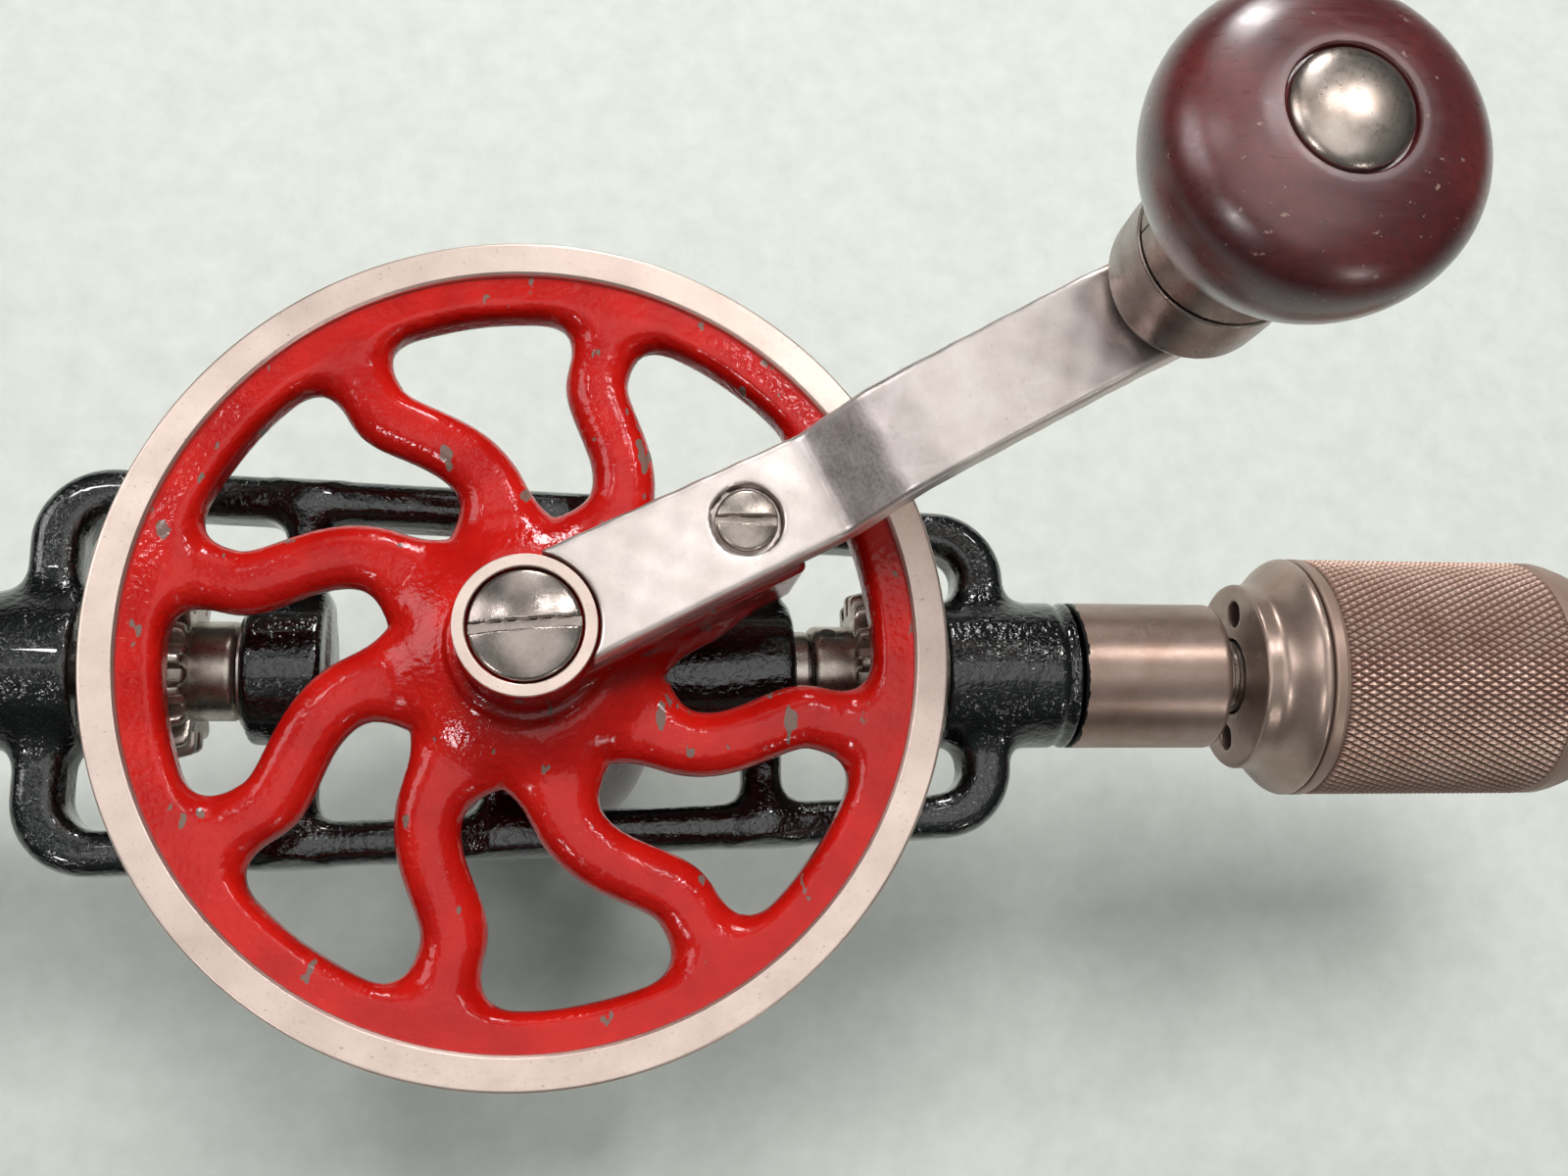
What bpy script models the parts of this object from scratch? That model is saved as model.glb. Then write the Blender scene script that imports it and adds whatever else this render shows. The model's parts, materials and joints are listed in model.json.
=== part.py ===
# Double pinion hand drill. +X runs along the spindle to the chuck, +Z along the gear's axis.
# The origin is the centre of the handle's butt, on the spindle's axis.
import math

import bmesh
import bpy
from mathutils import Matrix, Vector

mm = 0.001

# Clearances shared by every piece
fitGap = 0.3 * mm
overrun = 3 * mm
mergeDistance = 0.001 * mm

# Main gear: heights are measured from the spindle's axis
gearTeeth = 70
pinionTeeth = 16
gearRadius = 47.6 * mm
gearFront = 19.7 * mm
gearBandWidth = 3.9 * mm
gearRecess = 1 * mm
toothInset = 0.4 * mm
toothFace = 4.9 * mm
rimLip = 0.5 * mm
gearToothOuter = gearRadius - toothInset
gearToothInner = gearToothOuter - toothFace
gearRimInner = gearToothInner - rimLip
gearWebBack = 12.7 * mm
gearWebFront = 18.5 * mm
gearHubBack = 10.3 * mm
gearHubBackRadius = 9 * mm
gearHubRadius = 7.54 * mm
gearHubFront = 31.9 * mm
gearHubBaseRadius = 8.9 * mm
gearHubBaseFront = 21.6 * mm
gearDishRadius = 14.5 * mm
counterboreRadius = 6.15 * mm
counterboreDepth = 3 * mm
axleRadius = 4 * mm
axleDepth = 1 * mm
axleScrewDome = 1 * mm
spokeCount = 8
spokeHalfWidth = 3.6 * mm
spokeRootExtra = 0.8 * mm
spokeInner = 15.3 * mm
spokeRimWall = 1.4 * mm
spokeOuter = gearRimInner - spokeRimWall
spokeCorner = 3.3 * mm
spokeRimAngle = 32
spokeSweep = 19
spokeBendStart = 18 * mm
spokeBendRun = 16 * mm
spokeBendEnd = spokeBendStart + spokeBendRun
spokeStep = 1 * mm
toothHeadShare = 0.0235
toothFootShare = 0.0309
toothTipShare = 0.141
toothRootShare = 0.349

# Pinions: places along the spindle are measured from the gear's axis
pinionReach = 3.2 * mm
pinionOverhang = 0.4 * mm
pinionHubLength = 5.1 * mm
pinionTail = 2 * mm
pinionToothInner = gearToothInner - pinionReach
pinionToothOuter = gearToothOuter + pinionOverhang
pinionHubEnd = pinionToothInner - pinionHubLength
pinionTailEnd = pinionToothOuter + pinionTail
pinionHubRadius = 5.96 * mm
pinionPinInset = 2.2 * mm
pinionPinAt = pinionHubEnd + pinionPinInset
pinionPinRadius = 1 * mm
pinionPinTilt = 50
idlerShaftRadius = 3.2 * mm
idlerShaftSeat = 6.5 * mm
idlerWasherRadius = 6.9 * mm
spindleWasherRadius = 5.3 * mm

# Frame casting
frameHalfLeft = 24.2 * mm
frameHalfRight = 20.6 * mm
frameTaperLength = 100 * mm
frameCornerLeft = 8.5 * mm
frameCornerRight = 7.5 * mm
frameFillet = 3 * mm
frameEndSlant = 1.5 * mm
frameNeckStep = 1.2 * mm
frameBarWidth = 5.3 * mm
frameBarDepth = 8 * mm
frameEndLeft = 6.2 * mm
frameEndRight = 7 * mm
webWidth = 5 * mm
centreWebWidth = 12 * mm
windowCorner = 4.2 * mm
neckRadius = 9.3 * mm
neckGap = 1.9 * mm
neckStand = 1.1 * mm
neckLength = 15.2 * mm
noseRadius = 9.25 * mm
noseGap = 0.8 * mm
noseStand = 1.8 * mm
noseLength = 8.2 * mm
noseGroove = 1.2 * mm
noseGrooveDepth = 0.5 * mm
noseLip = 0.8 * mm
spigotRadius = 7.3 * mm
spigotLength = 2.7 * mm
leftBossRadius = 8.8 * mm
leftBossGap = 1 * mm
leftBossLength = 9 * mm
leftWebInset = 5.9 * mm
rightBossRadius = 8.4 * mm
rightBossGap = 2.4 * mm
rightWebInset = 3.5 * mm
centreBossRadius = 11 * mm
centreBossBack = 12 * mm
tangRadius = 4 * mm
tangLength = 34 * mm
neckInner = pinionTailEnd + neckGap
noseInner = pinionTailEnd + noseGap
leftWindowAt = neckInner + neckStand
rightWindowAt = noseInner + noseStand
frameLeftAt = leftWindowAt + frameEndLeft
frameRightAt = rightWindowAt + frameEndRight
leftBossOuter = pinionHubEnd - leftBossGap
leftBossInner = leftBossOuter - leftBossLength
leftWebAt = leftBossOuter - leftWebInset
rightBossOuter = pinionHubEnd - rightBossGap
rightWebAt = rightBossOuter - rightWebInset
neckEnd = frameLeftAt + neckLength
collarStart = frameRightAt + noseLength

# Overall length behind the gear's axis
handleLength = 126 * mm
ferruleLength = 17 * mm
buttToGearAxis = handleLength + ferruleLength + neckEnd

# Spindle and thrust bearing
spindleRadius = 4 * mm
spindleNeckRadius = 4.6 * mm
spindleLap = 12.6 * mm
spindleEnd = rightBossOuter - spindleLap
spindleSeat = 9.4 * mm
spindleFlangeRadius = 7.1 * mm
spindleFlangeWidth = 3 * mm
ballRadius = 1.25 * mm
ballCount = 8
ballCircle = 6.15 * mm
cageThickness = 0.8 * mm
cageHalfWidth = 0.8 * mm
raceThickness = 2 * mm
collarRadius = 9.23 * mm
collarLength = 19.1 * mm
collarEnd = collarStart + collarLength
collarWall = 1.6 * mm
collarEndWall = 3.4 * mm
collarEdge = 1 * mm

# Crank, measured along its own line from the gear's axis
crankAngle = 26.4
crankThickness = 4.8 * mm
crankFront = 32.2 * mm
crankHubGap = 0.35 * mm
crankWidthInner = 12.9 * mm
crankWidthOuter = 11.6 * mm
crankReach = 75 * mm
crankEndRadius = 6 * mm
crankBendStart = 34.8 * mm
crankBendEnd = 41.2 * mm
crankStepFront = 38.9 * mm
crankLevelAt = 67 * mm
crankLevelFront = 46.2 * mm
crankBendRadius = 5 * mm
crankScrewAt = 25.9 * mm
padLength = 30.6 * mm
padWidth = 13.7 * mm
padFoot = 14 * mm
screwHeadRadius = 3.4 * mm
screwRecessRadius = 3.9 * mm
screwRecessDepth = 1.7 * mm
screwDome = 0.5 * mm
screwShankRadius = 2.2 * mm
screwDepth = 12 * mm
slotWidth = 1 * mm
slotDepth = 0.9 * mm
axleSlotTilt = 5

# Crank knob
knobWasherRadius = 6 * mm
knobWasherThickness = 0.9 * mm
knobCollarRadius = 8.85 * mm
knobCollarHeight = 10.7 * mm
knobFerruleRadius = 8.6 * mm
knobFerruleHeight = 5.6 * mm
knobFerruleWall = 0.8 * mm
knobRadius = 15.1 * mm
knobHeight = 20.3 * mm
rivetRadius = 2.8 * mm
rivetHeadRadius = 5.5 * mm
rivetDome = 1.7 * mm
rivetSeat = 0.7 * mm

# Main handle and side handle
handleRadius = 16.2 * mm
handleNeckRadius = 10.6 * mm
handleButtFlat = 9 * mm
ferruleRadius = 10.1 * mm
ferruleWall = 0.9 * mm
handlePinRadius = 1.2 * mm
sideHandleRadius = 17.4 * mm
sideHandleLength = 66 * mm
sideHandleNeck = 9.5 * mm
sideHandleFlat = 11.5 * mm
sideWasherRadius = 10.5 * mm
sideWasherThickness = 2.2 * mm
sideFerruleLength = 7 * mm
sideFerruleRadius = 9.6 * mm
sideStudRadius = 3.2 * mm
sideStudSeat = 8 * mm
sideStudDepth = 26 * mm

# Chuck
chuckGap = 3.1 * mm
chuckFlareLength = 6.9 * mm
chuckBackAt = collarEnd + chuckGap
chuckFlareEnd = chuckBackAt + chuckFlareLength
chuckFlangeRadius = 11.9 * mm
chuckSleeveRadius = 15.3 * mm
chuckBackEdge = 1.9 * mm
chuckFlareLand = 0.4 * mm
chuckShankRadius = 12.6 * mm
spannerHoleRadius = 1.7 * mm
spannerHoleCircle = 8.1 * mm
spannerHoleDepth = 4 * mm
spannerHoleTilt = 20
sleeveWall = 1.3 * mm
sleeveLength = 33.5 * mm
sleeveNoseLength = 11 * mm
sleeveShoulder = chuckFlareEnd + sleeveLength
sleeveFront = sleeveShoulder + sleeveNoseLength
sleeveFrontRadius = 11 * mm
nutLap = 1.5 * mm
nutWidth = 5.5 * mm
nutFront = sleeveShoulder + nutLap
nutBack = nutFront - nutWidth
chuckFrontRadius = 10.3 * mm
chuckNoseRadius = 7.8 * mm
chuckNoseLength = 7 * mm
chuckNoseAt = sleeveFront + chuckNoseLength
chuckNoseBevel = 4 * mm
socketRadius = 4.3 * mm
socketDepth = 22 * mm
jawCount = 3
jawRadius = 1.9 * mm
jawSlope = 15
jawLength = 31 * mm
jawTipOut = 0.7 * mm
jawTipAt = chuckNoseAt + jawTipOut
jawOpening = 3.5 * mm
jawTipShift = 0.6 * mm
jawClosing = 3.2 * mm
jawWedgeGap = 0.15 * mm

roundSides = 24
fineSides = 32
smallSides = 12
socketSides = 20


def clearScene():
    for item in list(bpy.data.objects):
        bpy.data.objects.remove(item, do_unlink=True)


def makeMaterial(name, color, roughness, metallic):
    material = bpy.data.materials.new(name)
    material.use_nodes = True
    shader = material.node_tree.nodes["Principled BSDF"]
    shader.inputs["Base Color"].default_value = (*color, 1)
    shader.inputs["Roughness"].default_value = roughness
    shader.inputs["Metallic"].default_value = metallic
    material.diffuse_color = (*color, 1)
    return material


def toObject(name, bm, material=None):
    bmesh.ops.remove_doubles(bm, verts=bm.verts, dist=mergeDistance)
    bmesh.ops.dissolve_degenerate(bm, edges=bm.edges, dist=mergeDistance)
    bmesh.ops.recalc_face_normals(bm, faces=bm.faces)
    mesh = bpy.data.meshes.new(name)
    bm.to_mesh(mesh)
    bm.free()
    item = bpy.data.objects.new(name, mesh)
    bpy.context.scene.collection.objects.link(item)
    if material:
        mesh.materials.append(material)
    return item


# A turned piece: profile points are (along, radius), and the last point meets the first
def turned(name, profile, material=None, axis="X", center=(0, 0, 0), sides=roundSides):
    bm = bmesh.new()
    points = [bm.verts.new((along, radius, 0)) for along, radius in profile]
    edges = [bm.edges.new((points[i - 1], points[i])) for i in range(len(points))]
    bmesh.ops.spin(
        bm, geom=points + edges, cent=(0, 0, 0), axis=(1, 0, 0),
        angle=2 * math.pi, steps=sides, use_merge=True,
    )
    bmesh.ops.remove_doubles(bm, verts=bm.verts, dist=mergeDistance)
    loose = [edge for edge in bm.edges if not edge.link_faces]
    bmesh.ops.delete(bm, geom=loose, context="EDGES")
    if axis == "Z":
        bm.transform(Matrix.Rotation(math.radians(-90), 4, "Y"))
    bm.transform(Matrix.Translation(center))
    return toObject(name, bm, material)


def rod(name, low, high, radius, axis="X", center=(0, 0, 0), sides=roundSides, material=None):
    return turned(name, [(low, 0), (low, radius), (high, radius), (high, 0)], material, axis, center, sides)


# A flat outline in the plane, raised from one height to another
def raised(name, outline, low, high, material=None):
    bm = bmesh.new()
    face = bm.faces.new([bm.verts.new((x, y, low)) for x, y in outline])
    top = bmesh.ops.extrude_face_region(bm, geom=[face])["geom"]
    lift = [item for item in top if isinstance(item, bmesh.types.BMVert)]
    bmesh.ops.translate(bm, vec=(0, 0, high - low), verts=lift)
    return toObject(name, bm, material)


# Replaces each corner of an outline by an arc: corners are (x, y, radius)
def roundedOutline(corners, steps=5, closed=True):
    outline = []
    count = len(corners)
    for index, (x, y, radius) in enumerate(corners):
        here = Vector((x, y))
        if radius == 0 or (not closed and index in (0, count - 1)):
            outline.append(here)
            continue
        before = Vector(corners[index - 1][:2]) - here
        after = Vector(corners[(index + 1) % count][:2]) - here
        before.normalize()
        after.normalize()
        half = before.angle(after) / 2
        middle = here + (before + after).normalized() * radius / math.sin(half)
        start = here + before * radius / math.tan(half) - middle
        end = here + after * radius / math.tan(half) - middle
        swing = math.atan2(start.cross(end), start.dot(end))
        for step in range(steps + 1):
            outline.append(middle + Matrix.Rotation(swing * step / steps, 2) @ start)
    return [(point.x, point.y) for point in outline]


def cutOrJoin(target, tool, operation):
    modifier = target.modifiers.new("shape", "BOOLEAN")
    modifier.object = tool
    modifier.operation = operation
    modifier.solver = "EXACT"
    graph = bpy.context.evaluated_depsgraph_get()
    mesh = bpy.data.meshes.new_from_object(target.evaluated_get(graph))
    target.modifiers.remove(modifier)
    bm = bmesh.new()
    bm.from_mesh(mesh)
    bmesh.ops.remove_doubles(bm, verts=bm.verts, dist=mergeDistance)
    bmesh.ops.dissolve_degenerate(bm, edges=bm.edges, dist=mergeDistance)
    bmesh.ops.triangulate(bm, faces=bm.faces)
    bm.to_mesh(mesh)
    bm.free()
    target.data = mesh
    bpy.data.objects.remove(tool, do_unlink=True)


def join(target, tool):
    cutOrJoin(target, tool, "UNION")


def cut(target, tool):
    cutOrJoin(target, tool, "DIFFERENCE")


# Smooths the round surfaces and puts the piece's origin on its own axis
def finish(item, origin=(0, 0, 0), angle=32):
    mesh = item.data
    mesh.transform(Matrix.Translation(-Vector(origin)))
    item.location = origin
    mesh.shade_smooth()
    mesh.set_sharp_from_angle(angle=math.radians(angle))
    return item


def turnAbout(item, axis, degrees, center=(0, 0, 0)):
    center = Vector(center)
    turn = Matrix.Rotation(math.radians(degrees), 4, axis)
    item.data.transform(Matrix.Translation(center) @ turn @ Matrix.Translation(-center))


gearX = buttToGearAxis
gearAxis = (gearX, 0, 0)
crankTurn = math.radians(crankAngle)
knobAxis = (gearX + crankReach * math.cos(crankTurn), crankReach * math.sin(crankTurn), 0)


# Frame


# Half height of the casting's outline, which narrows towards the chuck
def frameEdge(x):
    share = (x + frameTaperLength / 2) / frameTaperLength
    return frameHalfLeft + (frameHalfRight - frameHalfLeft) * share


def frameOutline():
    neck = neckRadius - frameNeckStep
    upper = [
        (-frameLeftAt - frameFillet * 2, neck, 0),
        (-frameLeftAt, neck, frameFillet),
        (-frameLeftAt + frameEndSlant, frameEdge(-frameLeftAt), frameCornerLeft),
        (frameRightAt - frameEndSlant, frameEdge(frameRightAt), frameCornerRight),
        (frameRightAt, neck, frameFillet),
        (frameRightAt + frameFillet * 2, neck, 0),
    ]
    lower = [(x, -y, radius) for x, y, radius in reversed(upper)]
    return roundedOutline(upper + lower)


def frameWindow(low, high):
    corners = [
        (low, frameEdge(low) - frameBarWidth, windowCorner),
        (high, frameEdge(high) - frameBarWidth, windowCorner),
        (high, frameBarWidth - frameEdge(high), windowCorner),
        (low, frameBarWidth - frameEdge(low), windowCorner),
    ]
    return roundedOutline(corners)


def buildFrame(material):
    half = frameBarDepth / 2
    frame = raised("frame", frameOutline(), -half, half, material)
    windows = [
        (-leftWindowAt, -leftWebAt - webWidth / 2),
        (-leftWebAt + webWidth / 2, -centreWebWidth / 2),
        (centreWebWidth / 2, rightWebAt - webWidth / 2),
        (rightWebAt + webWidth / 2, rightWindowAt),
    ]
    for low, high in windows:
        cut(frame, raised("window", frameWindow(low, high), -half - overrun, half + overrun))
    frame.data.transform(Matrix.Translation(gearAxis))
    join(frame, rod("boss", gearX - leftBossOuter, gearX - leftBossInner, leftBossRadius))
    join(frame, rod("boss", gearX, gearX + rightBossOuter, rightBossRadius))
    axleTop = gearHubBack - fitGap
    join(frame, rod("boss", -centreBossBack, axleTop, centreBossRadius, "Z", gearAxis))
    neck = [
        (gearX - neckInner, 0),
        (gearX - neckInner, neckRadius),
        (gearX - neckEnd, neckRadius),
        (gearX - neckEnd, tangRadius),
        (gearX - neckEnd - tangLength, tangRadius),
        (gearX - neckEnd - tangLength, 0),
    ]
    join(frame, turned("neck", neck))
    grooveEnd = collarStart - fitGap - noseLip
    nose = [
        (gearX + noseInner, 0),
        (gearX + noseInner, noseRadius),
        (gearX + grooveEnd - noseGroove, noseRadius),
        (gearX + grooveEnd - noseGroove / 2, noseRadius - noseGrooveDepth),
        (gearX + grooveEnd, noseRadius),
        (gearX + collarStart - fitGap, noseRadius),
        (gearX + collarStart - fitGap, spigotRadius),
        (gearX + collarStart + spigotLength, spigotRadius),
        (gearX + collarStart + spigotLength, 0),
    ]
    join(frame, turned("nose", nose))
    seatEnd = neckInner + idlerShaftSeat
    shaftBore = idlerShaftRadius + fitGap
    cut(frame, rod("bore", gearX - seatEnd - fitGap, gearX - neckInner + overrun, shaftBore))
    shaftInner = leftBossOuter - idlerShaftSeat
    cut(frame, rod("bore", gearX - leftBossOuter - overrun, gearX - shaftInner + fitGap, shaftBore))
    journal = spindleRadius + fitGap
    cut(frame, rod("bore", gearX + spindleEnd - fitGap, gearX + rightBossOuter + overrun, journal))
    noseBore = spindleNeckRadius + fitGap
    noseLow = gearX + noseInner - overrun
    cut(frame, rod("bore", noseLow, gearX + collarStart + spigotLength + overrun, noseBore))
    cut(frame, rod("bore", -axleDepth - fitGap, axleTop + overrun, axleRadius + fitGap, "Z", gearAxis))
    studTop = -centreBossBack + sideStudSeat + fitGap
    studBore = sideStudRadius + fitGap
    cut(frame, rod("bore", -centreBossBack - overrun, studTop, studBore, "Z", gearAxis, smallSides))
    pinX = gearX - neckEnd - ferruleLength / 2
    pinHole = rod("hole", -neckRadius, neckRadius, handlePinRadius + fitGap, "Z", (pinX, 0, 0), smallSides)
    cut(frame, pinHole)
    return finish(frame)


# Main gear


# Middle of a spoke, in degrees round the gear, at a radius: a smooth step between two angles
def spokeMiddle(radius):
    share = (radius - spokeBendStart) / (spokeBendEnd - spokeBendStart)
    share = min(1, max(0, share))
    return spokeRimAngle - spokeSweep * (1 - share * share * (3 - 2 * share))


# Half of the angle that a spoke fills at a radius, wider where it runs slantwise and at its root
def spokeHalfAngle(radius):
    turn = math.radians(spokeMiddle(radius + spokeStep) - spokeMiddle(radius - spokeStep))
    slant = turn * radius / (2 * spokeStep)
    root = max(0, 1 - (radius - spokeInner) / (spokeBendEnd - spokeBendStart) * 2)
    width = spokeHalfWidth * math.sqrt(1 + slant * slant) + spokeRootExtra * root
    return math.degrees(width / radius)


# An opening runs between two spokes, with round corners at both ends
def openingOutline(steps=12):
    first = []
    second = []
    for step in range(steps + 1):
        share = (1 - math.cos(math.pi * step / steps)) / 2
        radius = spokeInner + (spokeOuter - spokeInner) * share
        end = min(radius - spokeInner, spokeOuter - radius, spokeCorner)
        corner = spokeCorner - math.sqrt(max(0, spokeCorner ** 2 - (spokeCorner - end) ** 2))
        inset = math.degrees(corner / radius)
        low = spokeMiddle(radius) + spokeHalfAngle(radius) + inset
        high = spokeMiddle(radius) + 360 / spokeCount - spokeHalfAngle(radius) - inset
        if low < high:
            first.append((radius, low))
            second.append((radius, high))
    arc = []
    outerLow = first[-1][1]
    outerHigh = second[-1][1]
    arcSteps = 4
    for step in range(1, arcSteps):
        arc.append((spokeOuter, outerLow + (outerHigh - outerLow) * step / arcSteps))
    path = first + arc + list(reversed(second))
    return [(r * math.cos(math.radians(a)), r * math.sin(math.radians(a))) for r, a in path]


# The toothed rim: at each tooth four radial sections, root, tip, tip and root
def toothedRim(material):
    slope = pinionTeeth / gearTeeth
    tip = slope - toothHeadShare
    root = slope + toothFootShare
    pitch = 2 * math.pi / gearTeeth
    band = gearRadius - gearBandWidth
    bm = bmesh.new()
    rings = []
    flanks = (
        (-toothRootShare, root),
        (-toothTipShare, tip),
        (toothTipShare, tip),
        (toothRootShare, root),
    )
    for tooth in range(gearTeeth):
        for half, height in flanks:
            angle = pitch * (tooth + 0.5 + half)
            section = [
                (gearRadius, gearFront),
                (band, gearFront),
                (gearRimInner, gearFront - gearRecess),
                (gearRimInner, root * gearRimInner),
                (gearToothInner, height * gearToothInner),
                (gearToothOuter, height * gearToothOuter),
            ]
            ring = [bm.verts.new((r * math.cos(angle), r * math.sin(angle), z)) for r, z in section]
            rings.append(ring)
    for index, ring in enumerate(rings):
        before = rings[index - 1]
        for point in range(len(ring)):
            bm.faces.new((before[point - 1], before[point], ring[point], ring[point - 1]))
    return toObject("main_gear", bm, material)


def buildGear(material):
    gear = toothedRim(material)
    inner = gearRimInner + fitGap
    web = [
        (gearHubBack, 0),
        (gearHubBack, gearHubBackRadius),
        (gearWebBack, gearHubBackRadius),
        (gearWebBack, inner),
        (gearWebFront, inner),
        (gearWebFront, gearDishRadius),
        (gearHubBaseFront, gearHubBaseRadius),
        (gearHubBaseFront, gearHubRadius),
        (gearHubFront, gearHubRadius),
        (gearHubFront, 0),
    ]
    disc = turned("disc", web, None, "Z", sides=fineSides)
    halfPad = padWidth / 2
    padTop = crankFront - crankThickness - fitGap
    padOutline = [(0, -halfPad), (padLength, -halfPad), (padLength, halfPad), (0, halfPad)]
    pad = raised("pad", padOutline, padFoot, padTop)
    turnAbout(pad, "Z", crankAngle)
    for index in range(spokeCount):
        opening = raised("opening", openingOutline(), gearWebBack - overrun, gearWebFront + overrun)
        turnAbout(opening, "Z", 360 / spokeCount * index)
        cut(disc, opening)
    join(disc, pad)
    join(gear, disc)
    cut(gear, rod("bore", gearHubBack - overrun, gearHubFront + overrun, axleRadius + fitGap, "Z"))
    seat = gearHubFront - counterboreDepth
    cut(gear, rod("counterbore", seat, gearHubFront + overrun, counterboreRadius, "Z", sides=fineSides))
    screwCenter = (crankScrewAt * math.cos(crankTurn), crankScrewAt * math.sin(crankTurn), 0)
    screwEnd = crankFront - screwDepth - fitGap
    screwBore = screwShankRadius + fitGap
    cut(gear, rod("hole", screwEnd, padTop + overrun, screwBore, "Z", screwCenter, smallSides))
    gear.data.transform(Matrix.Translation(gearAxis))
    return finish(gear, gearAxis)


def screwHead(name, low, high, dome, headRadius, shankEnd, shankRadius, center, tilt, material):
    steps = 5
    profile = [(shankEnd, 0), (shankEnd, shankRadius), (low, shankRadius), (low, headRadius)]
    for step in range(steps + 1):
        angle = math.pi / 2 * step / steps
        profile.append((high + dome * math.sin(angle), headRadius * math.cos(angle)))
    screw = turned(name, profile, material, "Z", center, roundSides)
    half = slotWidth / 2
    reach = headRadius + overrun
    slot = raised(
        "slot", [(-reach, -half), (reach, -half), (reach, half), (-reach, half)],
        high + dome - slotDepth - dome / 2, high + dome + overrun,
    )
    turnAbout(slot, "Z", tilt)
    slot.data.transform(Matrix.Translation(center))
    cut(screw, slot)
    return screw


def buildAxleScrew(material):
    seat = gearHubFront - counterboreDepth + fitGap
    rim = gearHubFront - fitGap
    screw = screwHead(
        "axle_screw", seat, rim, axleScrewDome, counterboreRadius - fitGap, -axleDepth, axleRadius,
        gearAxis, axleSlotTilt, material,
    )
    return finish(screw)


# Crank


# The crank's front line from the side: (along, height), with its two bends rounded
def crankLine():
    end = crankReach + crankEndRadius
    corners = [
        (0, crankFront, 0),
        (crankBendStart, crankFront, crankBendRadius),
        (crankBendEnd, crankStepFront, crankBendRadius),
        (crankLevelAt, crankLevelFront, crankBendRadius),
        (end, crankLevelFront, 0),
    ]
    return [Vector(point) for point in roundedOutline(corners, 4, False)]


def buildCrank(material):
    line = crankLine()
    end = crankReach + crankEndRadius
    bm = bmesh.new()
    rings = []
    for index, point in enumerate(line):
        ahead = line[min(index + 1, len(line) - 1)] - line[max(index - 1, 0)]
        ahead.normalize()
        under = point + Vector((ahead.y, -ahead.x)) * crankThickness
        share = point.x / end
        half = (crankWidthInner + (crankWidthOuter - crankWidthInner) * share) / 2
        corners = [(point, half), (point, -half), (under, -half), (under, half)]
        rings.append([bm.verts.new((place.x, side, place.y)) for place, side in corners])
    for index in range(1, len(rings)):
        for side in range(4):
            before = rings[index - 1]
            here = rings[index]
            bm.faces.new((before[side - 1], before[side], here[side], here[side - 1]))
    bm.faces.new(rings[0])
    bm.faces.new(list(reversed(rings[-1])))
    crank = toObject("crank_arm", bm, material)
    low = crankFront - crankThickness - overrun
    cut(crank, rod("hub", low, crankFront + overrun, gearHubRadius + crankHubGap, "Z", sides=fineSides))
    top = crankLevelFront + overrun
    bottom = crankLevelFront - crankThickness - overrun
    # Rounds the free end by cutting away what lies outside a circle on the knob's axis
    outside = crankWidthInner
    half = crankWidthOuter / 2 + (crankWidthInner - crankWidthOuter) / 2 * (1 - crankReach / end)
    arc = []
    arcSteps = 10
    arcStart = crankReach - fitGap
    for step in range(arcSteps + 1):
        angle = math.pi / 2 - math.pi * step / arcSteps
        arc.append((arcStart + crankEndRadius * math.cos(angle), (half + fitGap) * math.sin(angle)))
    far = end + outside
    shell = arc + [(arcStart, -outside), (far, -outside), (far, outside), (arcStart, outside)]
    cut(crank, raised("end", shell, bottom, top))
    rivetHole = rod("hole", bottom, top, rivetRadius + fitGap, "Z", (crankReach, 0, 0), smallSides)
    cut(crank, rivetHole)
    screwBore = screwShankRadius + fitGap
    cut(crank, rod("hole", low, crankFront + overrun, screwBore, "Z", (crankScrewAt, 0, 0), smallSides))
    recess = crankFront - screwRecessDepth
    cut(crank, rod("recess", recess, crankFront + overrun, screwRecessRadius, "Z", (crankScrewAt, 0, 0)))
    turnAbout(crank, "Z", crankAngle)
    crank.data.transform(Matrix.Translation(gearAxis))
    return finish(crank, gearAxis)


def buildCrankScrew(material):
    center = (gearX + crankScrewAt * math.cos(crankTurn), crankScrewAt * math.sin(crankTurn), 0)
    seat = crankFront - screwRecessDepth + fitGap
    screw = screwHead(
        "crank_screw", seat, crankFront, screwDome, screwHeadRadius, crankFront - screwDepth,
        screwShankRadius, center, 0, material,
    )
    return finish(screw, gearAxis)


# Crank knob


washerBottom = crankLevelFront + fitGap
collarBottom = washerBottom + knobWasherThickness + fitGap
knobFerruleBottom = collarBottom + knobCollarHeight + fitGap
knobBottom = knobFerruleBottom
knobTop = knobFerruleBottom + knobFerruleHeight + knobHeight


def buildKnobWasher(material):
    bore = rivetRadius + fitGap
    top = washerBottom + knobWasherThickness
    profile = [(washerBottom, bore), (washerBottom, knobWasherRadius), (top, knobWasherRadius), (top, bore)]
    return finish(turned("knob_washer", profile, material, "Z", knobAxis), knobAxis)


def buildKnobCollar(material):
    bore = rivetRadius + fitGap
    top = collarBottom + knobCollarHeight
    edge = knobFerruleWall
    profile = [
        (collarBottom, bore),
        (collarBottom, knobCollarRadius - edge),
        (collarBottom + edge / 2, knobCollarRadius - edge / 4),
        (collarBottom + edge * 2, knobCollarRadius),
        (top, knobCollarRadius),
        (top, bore),
    ]
    return finish(turned("knob_collar", profile, material, "Z", knobAxis), knobAxis)


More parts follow.
